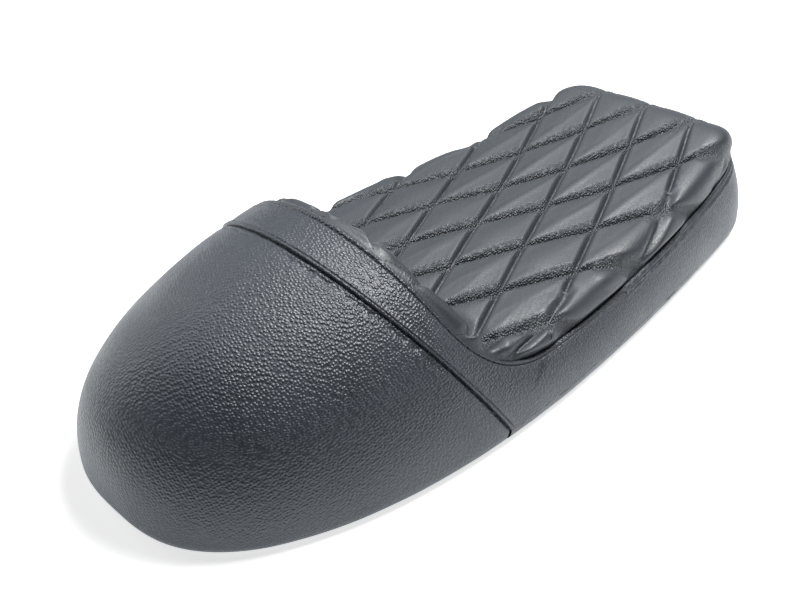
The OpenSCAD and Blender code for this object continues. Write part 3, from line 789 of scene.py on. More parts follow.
def settle(piece: bpy.types.Object, nodes: tuple[str, ...] = ()) -> None:
    """Declares a finished piece to the frame.

    Args:
        piece: The piece.
        nodes: The solids that the piece stands for.
    """
    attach(piece, "root")
    if nodes:
        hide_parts(*nodes)
    LOG.info("%s: %d faces", piece.name, len(piece.data.polygons))


@dataclass(frozen=True)
class Hem:
    """The turned lower edge of the covers.

    Attributes:
        flat_in: The inset at which the lower edge reaches the ground.
        turn: The radius of the turn up inside the rim.
        face_in: The inset of the turned-up face that bears on the pan's rim.
        outer_in: The inset up to which the hem is seen from outside and wavers.
    """

    flat_in: float = 9.0
    turn: float = 1.4
    face_in: float = 15.4
    outer_in: float = 8.0

    def profile(self, form: SeatForm) -> list[tuple[float, float]]:
        """Returns insets and heights from the widest line down, in and up inside the rim.

        Args:
            form: The seat's form.

        Returns:
            Pairs of inset and height.
        """
        s = form.z
        steps = [(self.flat_in * (1 - math.cos(a)), s.bulge_z * (1 - math.sin(a)))
                 for a in (math.radians(10 * k) for k in range(1, 10))]
        outer = self.face_in + s.cover_t
        steps += [(mix(self.flat_in, outer - self.turn, k / 3), 0.0) for k in range(1, 4)]
        steps += [(outer - self.turn + self.turn * math.sin(a), self.turn * (1 - math.cos(a)))
                  for a in (math.radians(30 * k) for k in range(1, 4))]
        steps += [(outer, mix(self.turn, s.hem_h, k / 4)) for k in range(1, 5)]
        steps += [(outer - 0.4, s.hem_h + 0.3), (self.face_in + 0.3, s.hem_h), (self.face_in, s.hem_h - 4)]
        return steps


@dataclass
class HumpCover:
    """The rear panel of the cover, over the hump's tail."""

    form: SeatForm
    finishes: Finishes
    hem: Hem = field(default_factory=Hem)
    columns: int = 220
    tail_rows: int = 58
    ditch: float = 1.5
    pucker: float = 0.35
    crease: float = 2.0
    crease_at: float = 3.6
    crease_w: float = 3.4

    def sink(self, p: Vector, d: float) -> float:
        """Returns how far the cover lies inside its plain form.

        Args:
            p: The point of the plain form.
            d: Its distance behind the rear seam.

        Returns:
            The depth, in millimetres.
        """
        fold = self.ditch * (1 - smooth((d + 0.6) / 3.0))
        pull = self.pucker * wander(p, 7.0, 3.0) * math.exp(-max(d, 0) / 7.0)
        # The hide creases beside the seam where the hump is widest
        where = smooth((p.z - 55) / 35) * smooth((145 - p.z) / 12) * (1.0 if p.y < 0 else 0.6)
        middle = self.crease_at + 1.2 * wander(p, 24.0, 1.0)
        folds = self.crease * (0.8 + wander(p, 6.5, 6.0))
        crease = folds * where * bump_at(d, middle, self.crease_w)
        sag = 0.45 * wander(p, 55.0) + 0.12 * wander(p, 21.0, 5.0)
        return fold + pull + crease - sag * smooth(d / 25)

    def build(self) -> bpy.types.Object:
        """Builds the panel, its hem and its fold under the band.

        Returns:
            The piece.
        """
        form = self.form
        near = [-6.0, -4.0, -2.5, -1.5, -0.7, 0.0, 0.7, 1.5, 2.4, 3.4, 4.6, 6.0, 7.6, 9.4, 11.5, 14.0]
        seams = [form.rear_x(a if a < 90 else 180 - a)
                 for a in (180 * j / self.columns for j in range(self.columns + 1))]
        points: list[Vector] = []
        reach: list[float] = []
        rows = len(near) + self.tail_rows
        for i in range(rows - 1):
            for j in range(self.columns + 1):
                a = 180 * j / self.columns
                if i < len(near):
                    x = seams[j] - near[i]
                else:
                    k = (i - len(near) + 1) / self.tail_rows
                    x = mix(seams[j] - near[-1], form.tail_x, math.sin(math.pi / 2 * k))
                p = form.dome(x, a, 0)
                points.append(form.dome(x, a, self.sink(p, seams[j] - x)))
            reach.append(x)
        faces = grid_quads(rows - 1, self.columns + 1)
        tip = len(points)
        points.append(form.dome(form.tail_x, 0, 0))
        last = (rows - 2) * (self.columns + 1)
        faces += [(last + j, last + j + 1, tip) for j in range(self.columns)]
        # The hem hangs from the widest line, right side first, then back up the left
        line = [i * (self.columns + 1) for i in range(rows - 1)] + [tip]
        line += [i * (self.columns + 1) + self.columns for i in range(rows - 2, -1, -1)]
        section = self.hem.profile(form)
        start = len(points)
        for k, x in enumerate(reach + [form.tail_x] + reach[::-1]):
            side = -1 if k < rows else 1
            d = seams[0] - x
            u = form.plan_u(x)
            for inset, z in section:
                wave = 0.3 * wander(Vector((x, side * 40.0, z * 3)), 30.0, 9.0) if z > 0.5 else 0.0
                outer = inset < self.hem.outer_in
                fold = self.ditch * (1 - smooth((d + 1.0) / 4.2)) if z < form.z.bulge_z and outer else 0.0
                points.append(form.rim_p(u, inset + fold + wave * outer, max(z, 0.0), side))
        m = len(section)
        for k in range(len(line) - 1):
            for r in range(-1, m - 1):
                a = line[k] if r < 0 else start + k * m + r
                b = line[k + 1] if r < 0 else start + (k + 1) * m + r
                faces.append((b, start + (k + 1) * m + r + 1, start + k * m + r + 1, a))
        piece = mesh_piece("hump_cover_vinyl", points, faces, self.finishes.get(Finish.HUMP))
        settle(piece, ("hump_cover", "hump_foam", "rear_seam_tape"))
        return piece


@dataclass
class SideBand:
    """The band over the hump, in one piece with the skirt round the seat."""

    form: SeatForm
    finishes: Finishes
    hem: Hem = field(default_factory=Hem)
    nose_steps: int = 70
    flank_steps: int = 130
    band_steps: int = 120
    welt: float = 0.7
    fold: float = 1.1
    seam_gap: float = 0.5
    border_stitch: float = 4.4
    rear_stitch: float = 2.9
    stitch_sink: float = 0.95
    far: float = 60.0

    def stations(self) -> list[Station]:
        """Returns one side's stations from the nose to the crown: kind, outer place, seam place.

        Returns:
            The stations.
        """
        foot = mix(self.form.z.rear_seam_foot_x, self.form.z.rear_seam_top_x,
                   self.form.z.bulge_z / self.form.z.hump_h)
        foot_u = self.form.plan_u(foot + self.seam_gap)
        side = [(0, i / self.nose_steps, i / self.nose_steps) for i in range(self.nose_steps)]
        side += [(0, mix(1, foot_u, t), mix(1, self.form.bend_end_u, t))
                 for t in (i / self.flank_steps for i in range(self.flank_steps + 1))]
        side += [(1, 90 * t, 2 * t) for t in (i / self.band_steps for i in range(1, self.band_steps + 1))]
        return side

    def border_v(self, q: Station) -> float:
        """Returns a station's place on the border seam.

        Args:
            q: The station.

        Returns:
            The place, 0 at the nose, 2 at the bend and 4 at the crown.
        """
        if q[0] == 1:
            return 2 + q[2]
        return q[2] if q[2] <= 1 else 1 + (q[2] - 1) / (self.form.bend_end_u - 1)

    def surface(self, q: Station, f: float, e: float, side: int) -> Vector:
        """Returns a point of the band.

        Args:
            q: The station.
            f: 0 at the widest line or the rear seam, 1 at the border seam.
            e: How far inside the plain form the point lies.
            side: 1 on the left, -1 on the right.

        Returns:
            The point.
        """
        form = self.form
        if q[0] == 0:
            u = mix(q[1], q[2], f)
            return form.flank_p(u, mix(form.z.bulge_z, form.seam_h(form.plan_x(u)), f), e, side)
        x1, a1 = form.upper_xa(q[2])
        x0 = form.rear_x(q[1]) + self.seam_gap
        p = form.dome(mix(x0, x1, f), mix(q[1], a1, f), e)
        return Vector((p.x, -side * p.y, p.z))

    def loop(self) -> list[tuple[Station, int]]:
        """Returns the stations all round, each with its side: right, then left."""
        side = self.stations()
        return [(q, -1) for q in side] + [(q, 1) for q in side[-2:0:-1]]

    def width(self, q: Station, side: int) -> float:
        """Returns the band's width at a station."""
        line = [self.surface(q, k / 6, 0, side) for k in range(7)]
        return sum((b - a).length for a, b in zip(line, line[1:]))

    def relief(self, p: Vector, to_border: float, to_rear: float) -> float:
        """Returns how far the band lies inside its plain form, from its folds and seams.

        Args:
            p: The point of the plain form.
            to_border: Its distance from the border seam.
            to_rear: Its distance from the rear seam.

        Returns:
            The depth, in millimetres; less than 0 stands proud.
        """
        d = to_border
        e = 1.0 * (1 - smooth((d + 0.2) / 1.1))
        e -= self.welt * bump_at(d, 2.1, 2.1) + 0.35 * bump_at(d, 6.2, 2.4)
        e += self.stitch_sink * bump_at(d, self.border_stitch, 1.1)
        e += 0.22 * wander(p, 6.0, 2.0) * math.exp(-max(d - 4, 0) / 5.0)
        r = to_rear
        e += 1.3 * (1 - smooth((r + 0.1) / 0.9))
        e -= self.fold * smooth((r + 0.1) / 0.9) * (1 - smooth((r - 2.5) / 5.0))
        e += self.stitch_sink * bump_at(r, self.rear_stitch, 1.0)
        e += 0.30 * wander(p, 7.5, 4.0) * math.exp(-max(r - 2, 0) / 7.0)
        calm = smooth(d / 22) * smooth(r / 22)
        e -= (0.40 * wander(p, 48.0, 7.0) + 0.12 * wander(p, 19.0, 8.0)) * calm
        return e

    def build(self) -> bpy.types.Object:
        """Builds the band, its skirt, its hem and its folded edges.

        Returns:
            The piece.
        """
        form = self.form
        loop = self.loop()
        m = len(loop)
        near_seam = [0.0, 0.4, 0.8, 1.3, 1.9, 2.5, 3.1, 3.6, 4.0, 4.4, 4.8, 5.2, 5.8, 6.6, 7.8, 9.4]
        middle = 16
        near_rear = [0.0, 0.4, 0.8, 1.3, 1.8, 2.3, 2.6, 2.9, 3.2, 3.6, 4.2, 5.0, 6.2, 8.0]
        shares: list[list[float]] = []
        widths: list[float] = []
        for q, s in loop:
            width = self.width(q, s)
            low = [r / width for r in near_rear]
            high = [1 - d / width for d in reversed(near_seam)]
            between = [mix(low[-1], high[0], (k + 1) / (middle + 1)) for k in range(middle)]
            shares.append(low + between + high)
            widths.append(width)
        rows = len(shares[0])
        points: list[Vector] = []
        for r in range(rows):
            for j, (q, s) in enumerate(loop):
                f = shares[j][r]
                p = self.surface(q, f, 0, s)
                to_rear = f * widths[j] if q[0] == 1 else self.far
                points.append(self.surface(q, f, self.relief(p, (1 - f) * widths[j], to_rear), s))
        faces = grid_quads(rows, m, closed=True, flip=True)
        # The border edge turns down into the seam
        for share, drop in ((0.5, 0.3), (1.0, 0.0), (1.3, -1.6)):
            start = len(points)
            for j, (q, s) in enumerate(loop):
                edge, low = points[(rows - 1) * m + j], form.ditch_p(self.border_v(q), s)
                points.append(edge.lerp(low, share) + Vector((0, 0, drop)))
            below = start - m
            faces += [(below + (j + 1) % m, below + j, start + j, start + (j + 1) % m) for j in range(m)]
        skirt = self.nose_steps + self.flank_steps
        line = list(range(m - skirt, m)) + list(range(skirt + 1))
        section = self.hem.profile(form)
        start = len(points)
        for index in line:
            q, s = loop[index]
            for inset, z in section:
                p = form.rim_p(q[1], inset, z, s)
                wave = 0.35 * wander(p, 26.0, 11.0) if inset < self.hem.outer_in else 0.0
                points.append(form.rim_p(q[1], inset + wave, z, s))
        h = len(section)
        for k in range(len(line) - 1):
            for r in range(-1, h - 1):
                a = line[k] if r < 0 else start + k * h + r
                b = line[k + 1] if r < 0 else start + (k + 1) * h + r
                faces.append((a, start + k * h + r + 1, start + (k + 1) * h + r + 1, b))
        # The rear edge turns down behind the band
        rear = list(range(skirt, m - skirt + 1))
        start = len(points)
        for index in rear:
            q, s = loop[index % m]
            p = points[index % m]
            if q[0]:
                down = self.surface(q, 0, 3.0, s) - self.surface(q, 0, 0, s)
            else:
                down = Vector((0, -s * 3.0, 0))
            points.append(p + down + Vector((0.6, 0, 0)))
        faces += [(rear[k] % m, rear[k + 1] % m, start + k + 1, start + k) for k in range(len(rear) - 1)]
        piece = mesh_piece("side_band_vinyl", points, faces, self.finishes.get(Finish.BAND))
        settle(piece, ("side_band",))
        return piece

    def path(self, offset: float, border: bool) -> list[tuple[Vector, Vector]]:
        """Returns a line of thread along one of the band's seams.

        Args:
            offset: Its distance from the seam.
            border: Whether it follows the border seam, or the rear seam.

        Returns:
            Points with the direction out of the cover at each.
        """
        loop = self.loop()
        if not border:
            skirt = self.nose_steps + self.flank_steps
            loop = loop[skirt:len(loop) - skirt + 1]
        line = []
        for q, s in loop:
            width = self.width(q, s)
            f = 1 - offset / width if border else offset / width
            p = self.surface(q, f, 0, s)
            out = (p - self.surface(q, f, 1.0, s)).normalized()
            e = self.relief(p, (1 - f) * width, f * width if q[0] else self.far)
            line.append((self.surface(q, f, e, s), out))
        return line


@dataclass
class BorderStation:
    """One station of the quilted panel's edge.

    Attributes:
        v: Its place on the border seam.
        side: 1 on the left, -1 on the right.
        flat: Its place on the laid-out panel, where the shoulder starts.
        out: The direction out of the laid-out panel there.
        run: The length of the shoulder down to the seam.
    """

    v: float
    side: int
    flat: Vector
    out: Vector
    run: float = 0.0


@dataclass(frozen=True)
class Pull:
    """How the vinyl is blown up between its stitches.

    Attributes:
        frames: How many frames the cloth moves for.
        pressure: The pressure under it.
        most: How far a point may move, in millimetres.
        quality: The steps in a frame.
        mass: The mass of a point.
        stretch: Its stiffness against tension and compression.
        shear: Its stiffness against shear.
        bending: Its stiffness against bending.
        shrink: How much it shrinks.
    """

    frames: int = 20
    pressure: float = 4.0
    most: float = 0.7
    quality: int = 6
    mass: float = 0.25
    stretch: float = 12
    shear: float = 4
    bending: float = 4.0
    shrink: float = 0.004


@dataclass
class QuiltedPanel:
    """The stuffed top, sewn in diamonds, from the nose up to the hump's lip."""

    form: SeatForm
    finishes: Finishes
    cell: int = 20
    edge_in: float = 0.25
    spacing: float = 1.8
    ribs: int = 12
    edge_run: float = 10.0
    steep_run: float = 4.2
    nose_t: float = -228.0
    lip_v: float = 3.55
    pull: Pull = Pull()
    stations: list[BorderStation] = field(init=False)
    inner: np.ndarray = field(init=False)
    outs: np.ndarray = field(init=False)

    def __post_init__(self) -> None:
        """Lays out the edge, which the stitch lines need too."""
        self.stations = self.flat_edge()
        self.inner = np.array([tuple(q.flat) for q in self.stations])
        self.outs = np.array([tuple(q.out) for q in self.stations])

    def flat_edge(self) -> list[BorderStation]:
        """Lays out the line where the shoulder starts, right side then left, nose to lip.

        Returns:
            The stations, in a closed loop.
        """
        form, s = self.form, self.form.z
        bend_t = s.quilt_x - form.bend_end_x - s.shoulder
        half: list[tuple[float, float, float]] = []
        steps = 300
        joint: tuple[float, float] | None = None
        width = 0.0
        for i in range(steps + 1):
            v = 4 * i / steps
            if v <= 2:
                u = v if v <= 1 else mix(1, form.bend_end_u, v - 1)
                p = form.plan_p(u) + form.plan_n(u) * (s.seam_inset + s.shoulder)
                t = s.quilt_x - p.x
                if t < bend_t:
                    half.append((v, t, max(p.y, 0.0)))
                    joint = (v, t)
                    continue
            assert joint is not None
            if v <= self.lip_v:
                t = mix(joint[1], s.face_top, (v - joint[0]) / (self.lip_v - joint[0]))
                width = abs(form.border_p(v, 1).y) - s.shoulder
                half.append((v, t, width))
            else:
                half.append((v, s.face_top, width * (4 - v) / (4 - self.lip_v)))
        loop = [(v, Vector((t, -y))) for v, t, y in half]
        loop += [(8 - v, Vector((t, y))) for v, t, y in reversed(half[1:-1])]
        flats = [q[1] for q in loop]
        for _ in range(24):
            flats = [(flats[i - 1] + flats[i] * 2 + flats[(i + 1) % len(flats)]) / 4
                     for i in range(len(flats))]
        flats.append(flats[0])
        places = [q[0] for q in loop] + [8.0]
        lengths = np.concatenate([[0.0], np.cumsum([(b - a).length for a, b in zip(flats, flats[1:])])])
        count = 2 * round(float(lengths[-1]) / 2 / self.spacing)
        even = np.arange(count) * float(lengths[-1]) / count
        ws = np.interp(even, lengths, places)
        ts, ys = (np.interp(even, lengths, [f[k] for f in flats]) for k in (0, 1))
        stations = []
        for i in range(count):
            w = float(ws[i])
            after, before = (i + 1) % count, i - 1
            along = Vector((ts[after] - ts[before], ys[after] - ys[before]))
            out = Vector((along.y, -along.x)).normalized()
            flat = Vector((float(ts[i]), float(ys[i])))
            if out.dot(flat - Vector((-20.0, 0.0))) < 0:
                out = -out
            stations.append(BorderStation(w if w <= 4 else 8 - w, -1 if w <= 4 else 1, flat, out))
        for _ in range(10):
            turns = [q.out for q in stations]
            for i, q in enumerate(stations):
                q.out = (turns[i - 1] + turns[i] * 2 + turns[(i + 1) % len(turns)]).normalized()
        for q in stations:
            line = [self.shoulder(q, k / 12) for k in range(13)]
            q.run = sum((b - a).length for a, b in zip(line, line[1:]))
        return stations

    def seam_point(self, v: float, side: int) -> Vector:
        """Returns the panel's edge in the border seam."""
        return self.form.ditch_p(v, side) + self.form.border_in(v, side) * self.edge_in

    def shoulder(self, q: BorderStation, r: float) -> Vector:
        """Returns a point of the shoulder.

        Args:
            q: The station.
            r: 0 where the shoulder starts, 1 in the border seam.

        Returns:
            The point.
        """
        form = self.form
        a = form.stitch_plane(q.flat.x, q.flat.y)
        b = self.seam_point(q.v, q.side)
        inner = q.flat - q.out * 2
        start = (a - form.stitch_plane(inner.x, inner.y)).normalized()
        lift = smooth(q.v - 2)
        over = mix(-1.0, 0.1, lift)
        end = (Vector((0, 0, over)) - form.border_in(q.v, q.side) * mix(0.35, 1.0, lift)).normalized()
        reach = (b - a).length * 0.5
        c1, c2 = a + start * reach, b - end * reach
        w = 1 - r
        return a * w ** 3 + c1 * 3 * w * w * r + c2 * 3 * w * r * r + b * r ** 3

    def stuffing(self, t: float, y: float, to_seam: float) -> float:
        """Returns how far the stuffed vinyl stands above the stitch lines.

        Args:
            t: The distance back along the panel.
            y: The distance from its middle.
            to_seam: The distance from the border seam.

        Returns:
            The height, in millimetres.
        """
        s = self.form.z
        a, b = t / s.diamond_l + y / s.diamond_w, t / s.diamond_l - y / s.diamond_w
        da, db = self.line_gap(a), self.line_gap(b)
        # The pull of the thread opens each flatter channel towards its front end
        pull = smooth(1 - (a - math.floor(a)))
        flat_run = mix(5.0, self.edge_run, pull)
        if to_seam > 60:
            walls = self.form.fall(da, self.steep_run, 2.2) * self.form.fall(db, flat_run, 2.2)
        else:
            walls = smooth(da / (self.steep_run + 2)) * smooth(db / (flat_run + 1))
        middle = abs(math.sin(math.pi * a) * math.sin(math.pi * b))
        full = 0.72 * walls + 0.28 * middle
        # The nose is pulled tighter, so its channels are shallow
        loose = mix(0.3, 1.0, smooth((t - self.nose_t) / 60))
        full = loose * full + (1 - loose) * 0.55
        fold = smooth(abs(t - self.form.foot_t) / 20)
        lip = smooth((t - self.form.foot_t) / 60)
        edge = smooth(to_seam / mix(7, 10, lip)) * mix(1.0, mix(0.38, 1.0, smooth((to_seam - 6) / 22)), lip)
        ripple = 0.6 * pull * wander(Vector((t, y, 0)), 6.5, 2.0) * bump_at(db, 5.0, 5.0)
        return (s.puff * full * fold + ripple) * edge

    def line_gap(self, a: float) -> float:
        """Returns the distance from the nearest stitch line of a family, from a place in diamonds."""
        s = self.form.z
        return abs(a - round(a)) / math.hypot(1 / s.diamond_l, 1 / s.diamond_w)

    def lattice(self, a: float, b: float) -> Vector:
        """Returns the laid-out place of a point given in diamonds."""
        s = self.form.z
        return Vector(((a + b) * s.diamond_l / 2, (a - b) * s.diamond_w / 2))

    def diamonds(self, p: Vector) -> tuple[float, float]:
        """Returns a laid-out place in diamonds."""
        s = self.form.z
        return p.x / s.diamond_l + p.y / s.diamond_w, p.x / s.diamond_l - p.y / s.diamond_w

    @staticmethod
    def gaps(loop: np.ndarray, x: float, y: float) -> tuple[bool, float]:
        """Tells where a place lies against a closed loop.

        Args:
            loop: The loop's points.
            x: The place's first coordinate.
            y: Its second.

        Returns:
            Whether the place lies inside, and its distance from the loop.
        """
        a, b = loop, np.roll(loop, -1, axis=0)
        hit = (a[:, 1] > y) != (b[:, 1] > y)
        rise = np.where(hit, b[:, 1] - a[:, 1], 1.0)
        cross = x < (b[:, 0] - a[:, 0]) * (y - a[:, 1]) / rise + a[:, 0]
        way = b - a
        along = (x - a[:, 0]) * way[:, 0] + (y - a[:, 1]) * way[:, 1]
        along = along / np.maximum((way ** 2).sum(1), 1e-9)
        near = a + way * np.clip(along, 0, 1)[:, None]
        gap = np.min(np.hypot(near[:, 0] - x, near[:, 1] - y))
        return bool(np.count_nonzero(hit & cross) % 2), float(gap)

    def fold(self, p: Vector) -> Vector | None:
        """Returns where a laid-out place comes to lie on the seat, or None beyond the seam.

        Args:
            p: The laid-out place.

        Returns:
            The point on the seat, or None.
        """
        if self.gaps(self.inner, p.x, p.y)[0]:
            return self.form.stitch_plane(p.x, p.y)
        away = np.array(tuple(p)) - self.inner
        off = self.outs[:, 0] * away[:, 1] - self.outs[:, 1] * away[:, 0]
        along = (self.outs * away).sum(1)
        picks = np.nonzero((off * np.roll(off, -1) <= 0) & (along > -0.5) & (along < 60))[0]
        if not len(picks):
            return None
        i = int(picks[np.argmin(np.abs(along[picks]))])
        j = (i + 1) % len(self.stations)
        c = float(off[i] / (off[i] - off[j])) if off[i] != off[j] else 0.0
        q, other = self.stations[i], self.stations[j]
        r = mix(float(along[i]), float(along[j]), c) / mix(q.run, other.run, c)
        if r > 0.985:
            return None
        return self.shoulder(q, max(r, 0.0)).lerp(self.shoulder(other, max(r, 0.0)), c)

    def middle_faces(self, rim: int, grid: dict[tuple[int, int], int],
                     places: list[Vector]) -> list[tuple[int, ...]]:
        """Joins the lattice's points to each other and to the shoulder's first rib.

        Args:
            rim: The number of points on the rib.
            grid: The lattice's points, by their place in the lattice.
            places: All laid-out places, those of the rib first.

        Returns:
            The faces, quads wherever the lattice has them.
        """
        n = self.cell
        ring = [(i, (i + 1) % rim) for i in range(rim)]
        out = geometry.delaunay_2d_cdt([Vector(p) for p in places], ring, [], 1, 1e-6)
        where = {k: sources[0] for k, sources in enumerate(out[3]) if sources}
        triangles: dict[frozenset[int], tuple[int, ...]] = {}
        for f in out[2]:
            tri = tuple(where[k] for k in f)
            c = sum((places[k] for k in tri), Vector((0, 0))) / 3
            if self.gaps(self.inner, c.x, c.y)[0]:
                triangles[frozenset(tri)] = tri
        quads: list[tuple[int, ...]] = []
        for (i, j), a in grid.items():
            b, c, d = (grid.get(k) for k in ((i + 1, j), (i + 1, j + 1), (i, j + 1)))
            if b is None or c is None or d is None or i + j + 1 == 2 * n:
                continue
            for pair in (((a, b, d), (b, c, d)), ((a, b, c), (a, c, d))):
                keys = [frozenset(t) for t in pair]
                if all(k in triangles for k in keys):
                    quads.append((a, b, c, d))
                    for k in keys:
                        del triangles[k]
                    break
        return quads + list(triangles.values())

    def layout(self) -> tuple[list[Vector], list[tuple[int, ...]], list[tuple[float, float]], list[bool]]:
        """Lays the panel out and folds it over the seat.

        Returns:
            The points, the faces, the places in diamonds and which points are sewn down.
        """
        form = self.form
        rim = len(self.stations)
        places: list[Vector] = [q.flat for q in self.stations]
        grid: dict[tuple[int, int], int] = {}
        n = self.cell
        for i in range(-6 * n, 6 * n + 1):
            for j in range(-6 * n, 6 * n + 1):
                p = self.lattice(i / n, j / n)
                if abs(p.y) > 130 or not -250 < p.x < 200:
                    continue
                within, gap = self.gaps(self.inner, p.x, p.y)
                if within and gap > 1.1:
                    grid[(i, j)] = len(places)
                    places.append(p)
        faces = self.middle_faces(rim, grid, places)
        points = [form.stitch_plane(p.x, p.y) for p in places]
        seams = [99.0] * len(places)
        last = list(range(rim))
        for k in range(1, self.ribs + 1):
            r = k / self.ribs
            ring = list(range(len(places), len(places) + rim))
            for q in self.stations:
                places.append(q.flat + q.out * q.run * r)
                points.append(self.shoulder(q, r))
                seams.append(q.run * (1 - r))
            faces += [(last[i], ring[i], ring[(i + 1) % rim], last[(i + 1) % rim]) for i in range(rim)]
            last = ring
        uv = [self.diamonds(p) for p in places]
        sewn = [seams[k] == 0 or min(self.line_gap(a) for a in uv[k]) < (0.9 if seams[k] > 60 else 1.8)
                or abs(places[k].x - form.foot_t) < 0.9 for k in range(len(places))]
        mesh = bpy.data.meshes.new("quilt_base")
        mesh.from_pydata([tuple(p) for p in points], [], faces)
        bm = bmesh.new()
        bm.from_mesh(mesh)
        bmesh.ops.recalc_face_normals(bm, faces=bm.faces)
        bm.faces.ensure_lookup_table()
        if sum(f.normal.z for f in bm.faces) < 0:
            bmesh.ops.reverse_faces(bm, faces=bm.faces)
        bm.to_mesh(mesh)
        bm.free()
        faces = [tuple(f.vertices) for f in mesh.polygons]
        ups = [v.normal.copy() for v in mesh.vertices]
        bpy.data.meshes.remove(mesh)
        points = [p + u * self.stuffing(q.x, q.y, d) for p, u, q, d in zip(points, ups, places, seams)]
        return points, faces, uv, sewn

    def relax(self, piece: bpy.types.Object, sewn: list[bool]) -> None:
        """Blows the vinyl up between its stitches, so that it rounds and wrinkles.

        Args:
            piece: The panel.
            sewn: Which of its points are sewn down.
        """
        start = np.empty(len(piece.data.vertices) * 3)
        piece.data.vertices.foreach_get("co", start)
        start = start.reshape(-1, 3)
        group = piece.vertex_groups.new(name="sewn")
        group.add([i for i, s in enumerate(sewn) if s], 1.0, "REPLACE")
        cloth = piece.modifiers.new("cloth", "CLOTH")
        c = cloth.settings
        c.quality = self.pull.quality
        c.mass = self.pull.mass
        c.tension_stiffness = c.compression_stiffness = self.pull.stretch
        c.shear_stiffness = self.pull.shear
        c.bending_stiffness = self.pull.bending
        c.vertex_group_mass = "sewn"
        c.use_pressure = True
        c.uniform_pressure_force = self.pull.pressure
        c.shrink_min = self.pull.shrink
        c.effector_weights.gravity = 0
        cloth.collision_settings.use_self_collision = False
        cloth.collision_settings.use_collision = False
        for frame in range(1, self.pull.frames + 1):
            bpy.context.scene.frame_set(frame)
        graph = bpy.context.evaluated_depsgraph_get()
        moved = np.empty(len(start) * 3)
        piece.evaluated_get(graph).data.vertices.foreach_get("co", moved)
        moved = moved.reshape(-1, 3)
        bpy.context.scene.frame_set(1)
        piece.modifiers.clear()
        piece.vertex_groups.clear()
        step = moved - start
        length = np.linalg.norm(step, axis=1, keepdims=True)
        cap = self.pull.most * MM
        step *= np.minimum(1.0, cap / np.maximum(length, 1e-9))
        piece.data.vertices.foreach_set("co", (start + step).ravel())
        piece.data.update()
        LOG.info("the quilting moved %.2f mm at most", float(length.max()) / MM)

    def build(self) -> bpy.types.Object:
        """Builds the panel, sewn, stuffed and smoothed.

        Returns:
            The piece.
        """
        points, faces, uv, sewn = self.layout()
        rim = len(self.stations)
        ribbed = [k < rim or k >= len(points) - rim * self.ribs for k in range(len(points))]
        piece = mesh_piece("quilted_panel_vinyl", points, faces, self.finishes.get(Finish.QUILT))
        self.relax(piece, sewn)
        mesh = piece.data
        layer = mesh.uv_layers.new(name="diamonds")
        for loop in mesh.loops:
            layer.data[loop.index].uv = uv[loop.vertex_index]
        turned = mesh.attributes.new("turned", "FLOAT", "POINT")
        turned.data.foreach_set("value", [self.turned(a, b) for a, b in uv])
        crease = mesh.attributes.new("crease_edge", "FLOAT", "EDGE")
        crease.data.foreach_set("value", [0.7 if all(sewn[k] and not ribbed[k] for k in e.vertices) else 0.0
                                          for e in mesh.edges])
        rounded = piece.modifiers.new("rounded", "SUBSURF")
        rounded.levels = rounded.render_levels = 1
        applied(piece)
        piece.data.polygons.foreach_set("use_smooth", [True] * len(piece.data.polygons))
        settle(piece, ("quilted_panel", "seat_foam"))
        return piece

    def turned(self, a: float, b: float) -> float:
        """Returns how far the vinyl turns down towards its stitches, from 0 to 1.

        Args:
            a: The place across the steeper lines, in diamonds.
            b: The place across the flatter lines, in diamonds.

        Returns:
            The share.
        """
        pull = smooth(1 - (a - math.floor(a)))
        steep = (1 - smooth((self.line_gap(a) - 1.0) / 3.0)) * 0.3
        flat = 1 - smooth((self.line_gap(b) - mix(1.0, 4.0, pull)) / mix(5.0, 8.0, pull))
        t = (a + b) * self.form.z.diamond_l / 2
        return max(steep, flat) * (1 - smooth((t - self.form.z.face_top + 12) / 10))

    def stitch_lines(self) -> list[list[tuple[Vector, Vector]]]:
        """Returns the quilting's stitch lines, each as points with the way out of the panel.

        Returns:
            The lines.
        """
        lines = []
        for family in (0, 1):
            for row in range(-5, 6):
                run: list[tuple[Vector, Vector]] = []
                for k in range(-100, 101):
                    other = k / 20
                    p = self.lattice(row, other) if family == 0 else self.lattice(other, row)
                    spot = self.fold(p)
                    ahead, beside = self.fold(p + Vector((-0.5, 0))), self.fold(p + Vector((0, 0.5)))
                    if spot is None or ahead is None or beside is None:
                        if len(run) > 3:
                            lines.append(run)
                        run = []
                        continue
                    run.append((spot, (ahead - spot).cross(beside - spot).normalized()))
                if len(run) > 3:
                    lines.append(run)
        return lines


@dataclass(frozen=True)
class RunSizes:
    """Sizes of one kind of thing that repeats along a line, in millimetres."""

    pitch: float
    length: float
    width: float
    height: float
    lift: float = 0.0


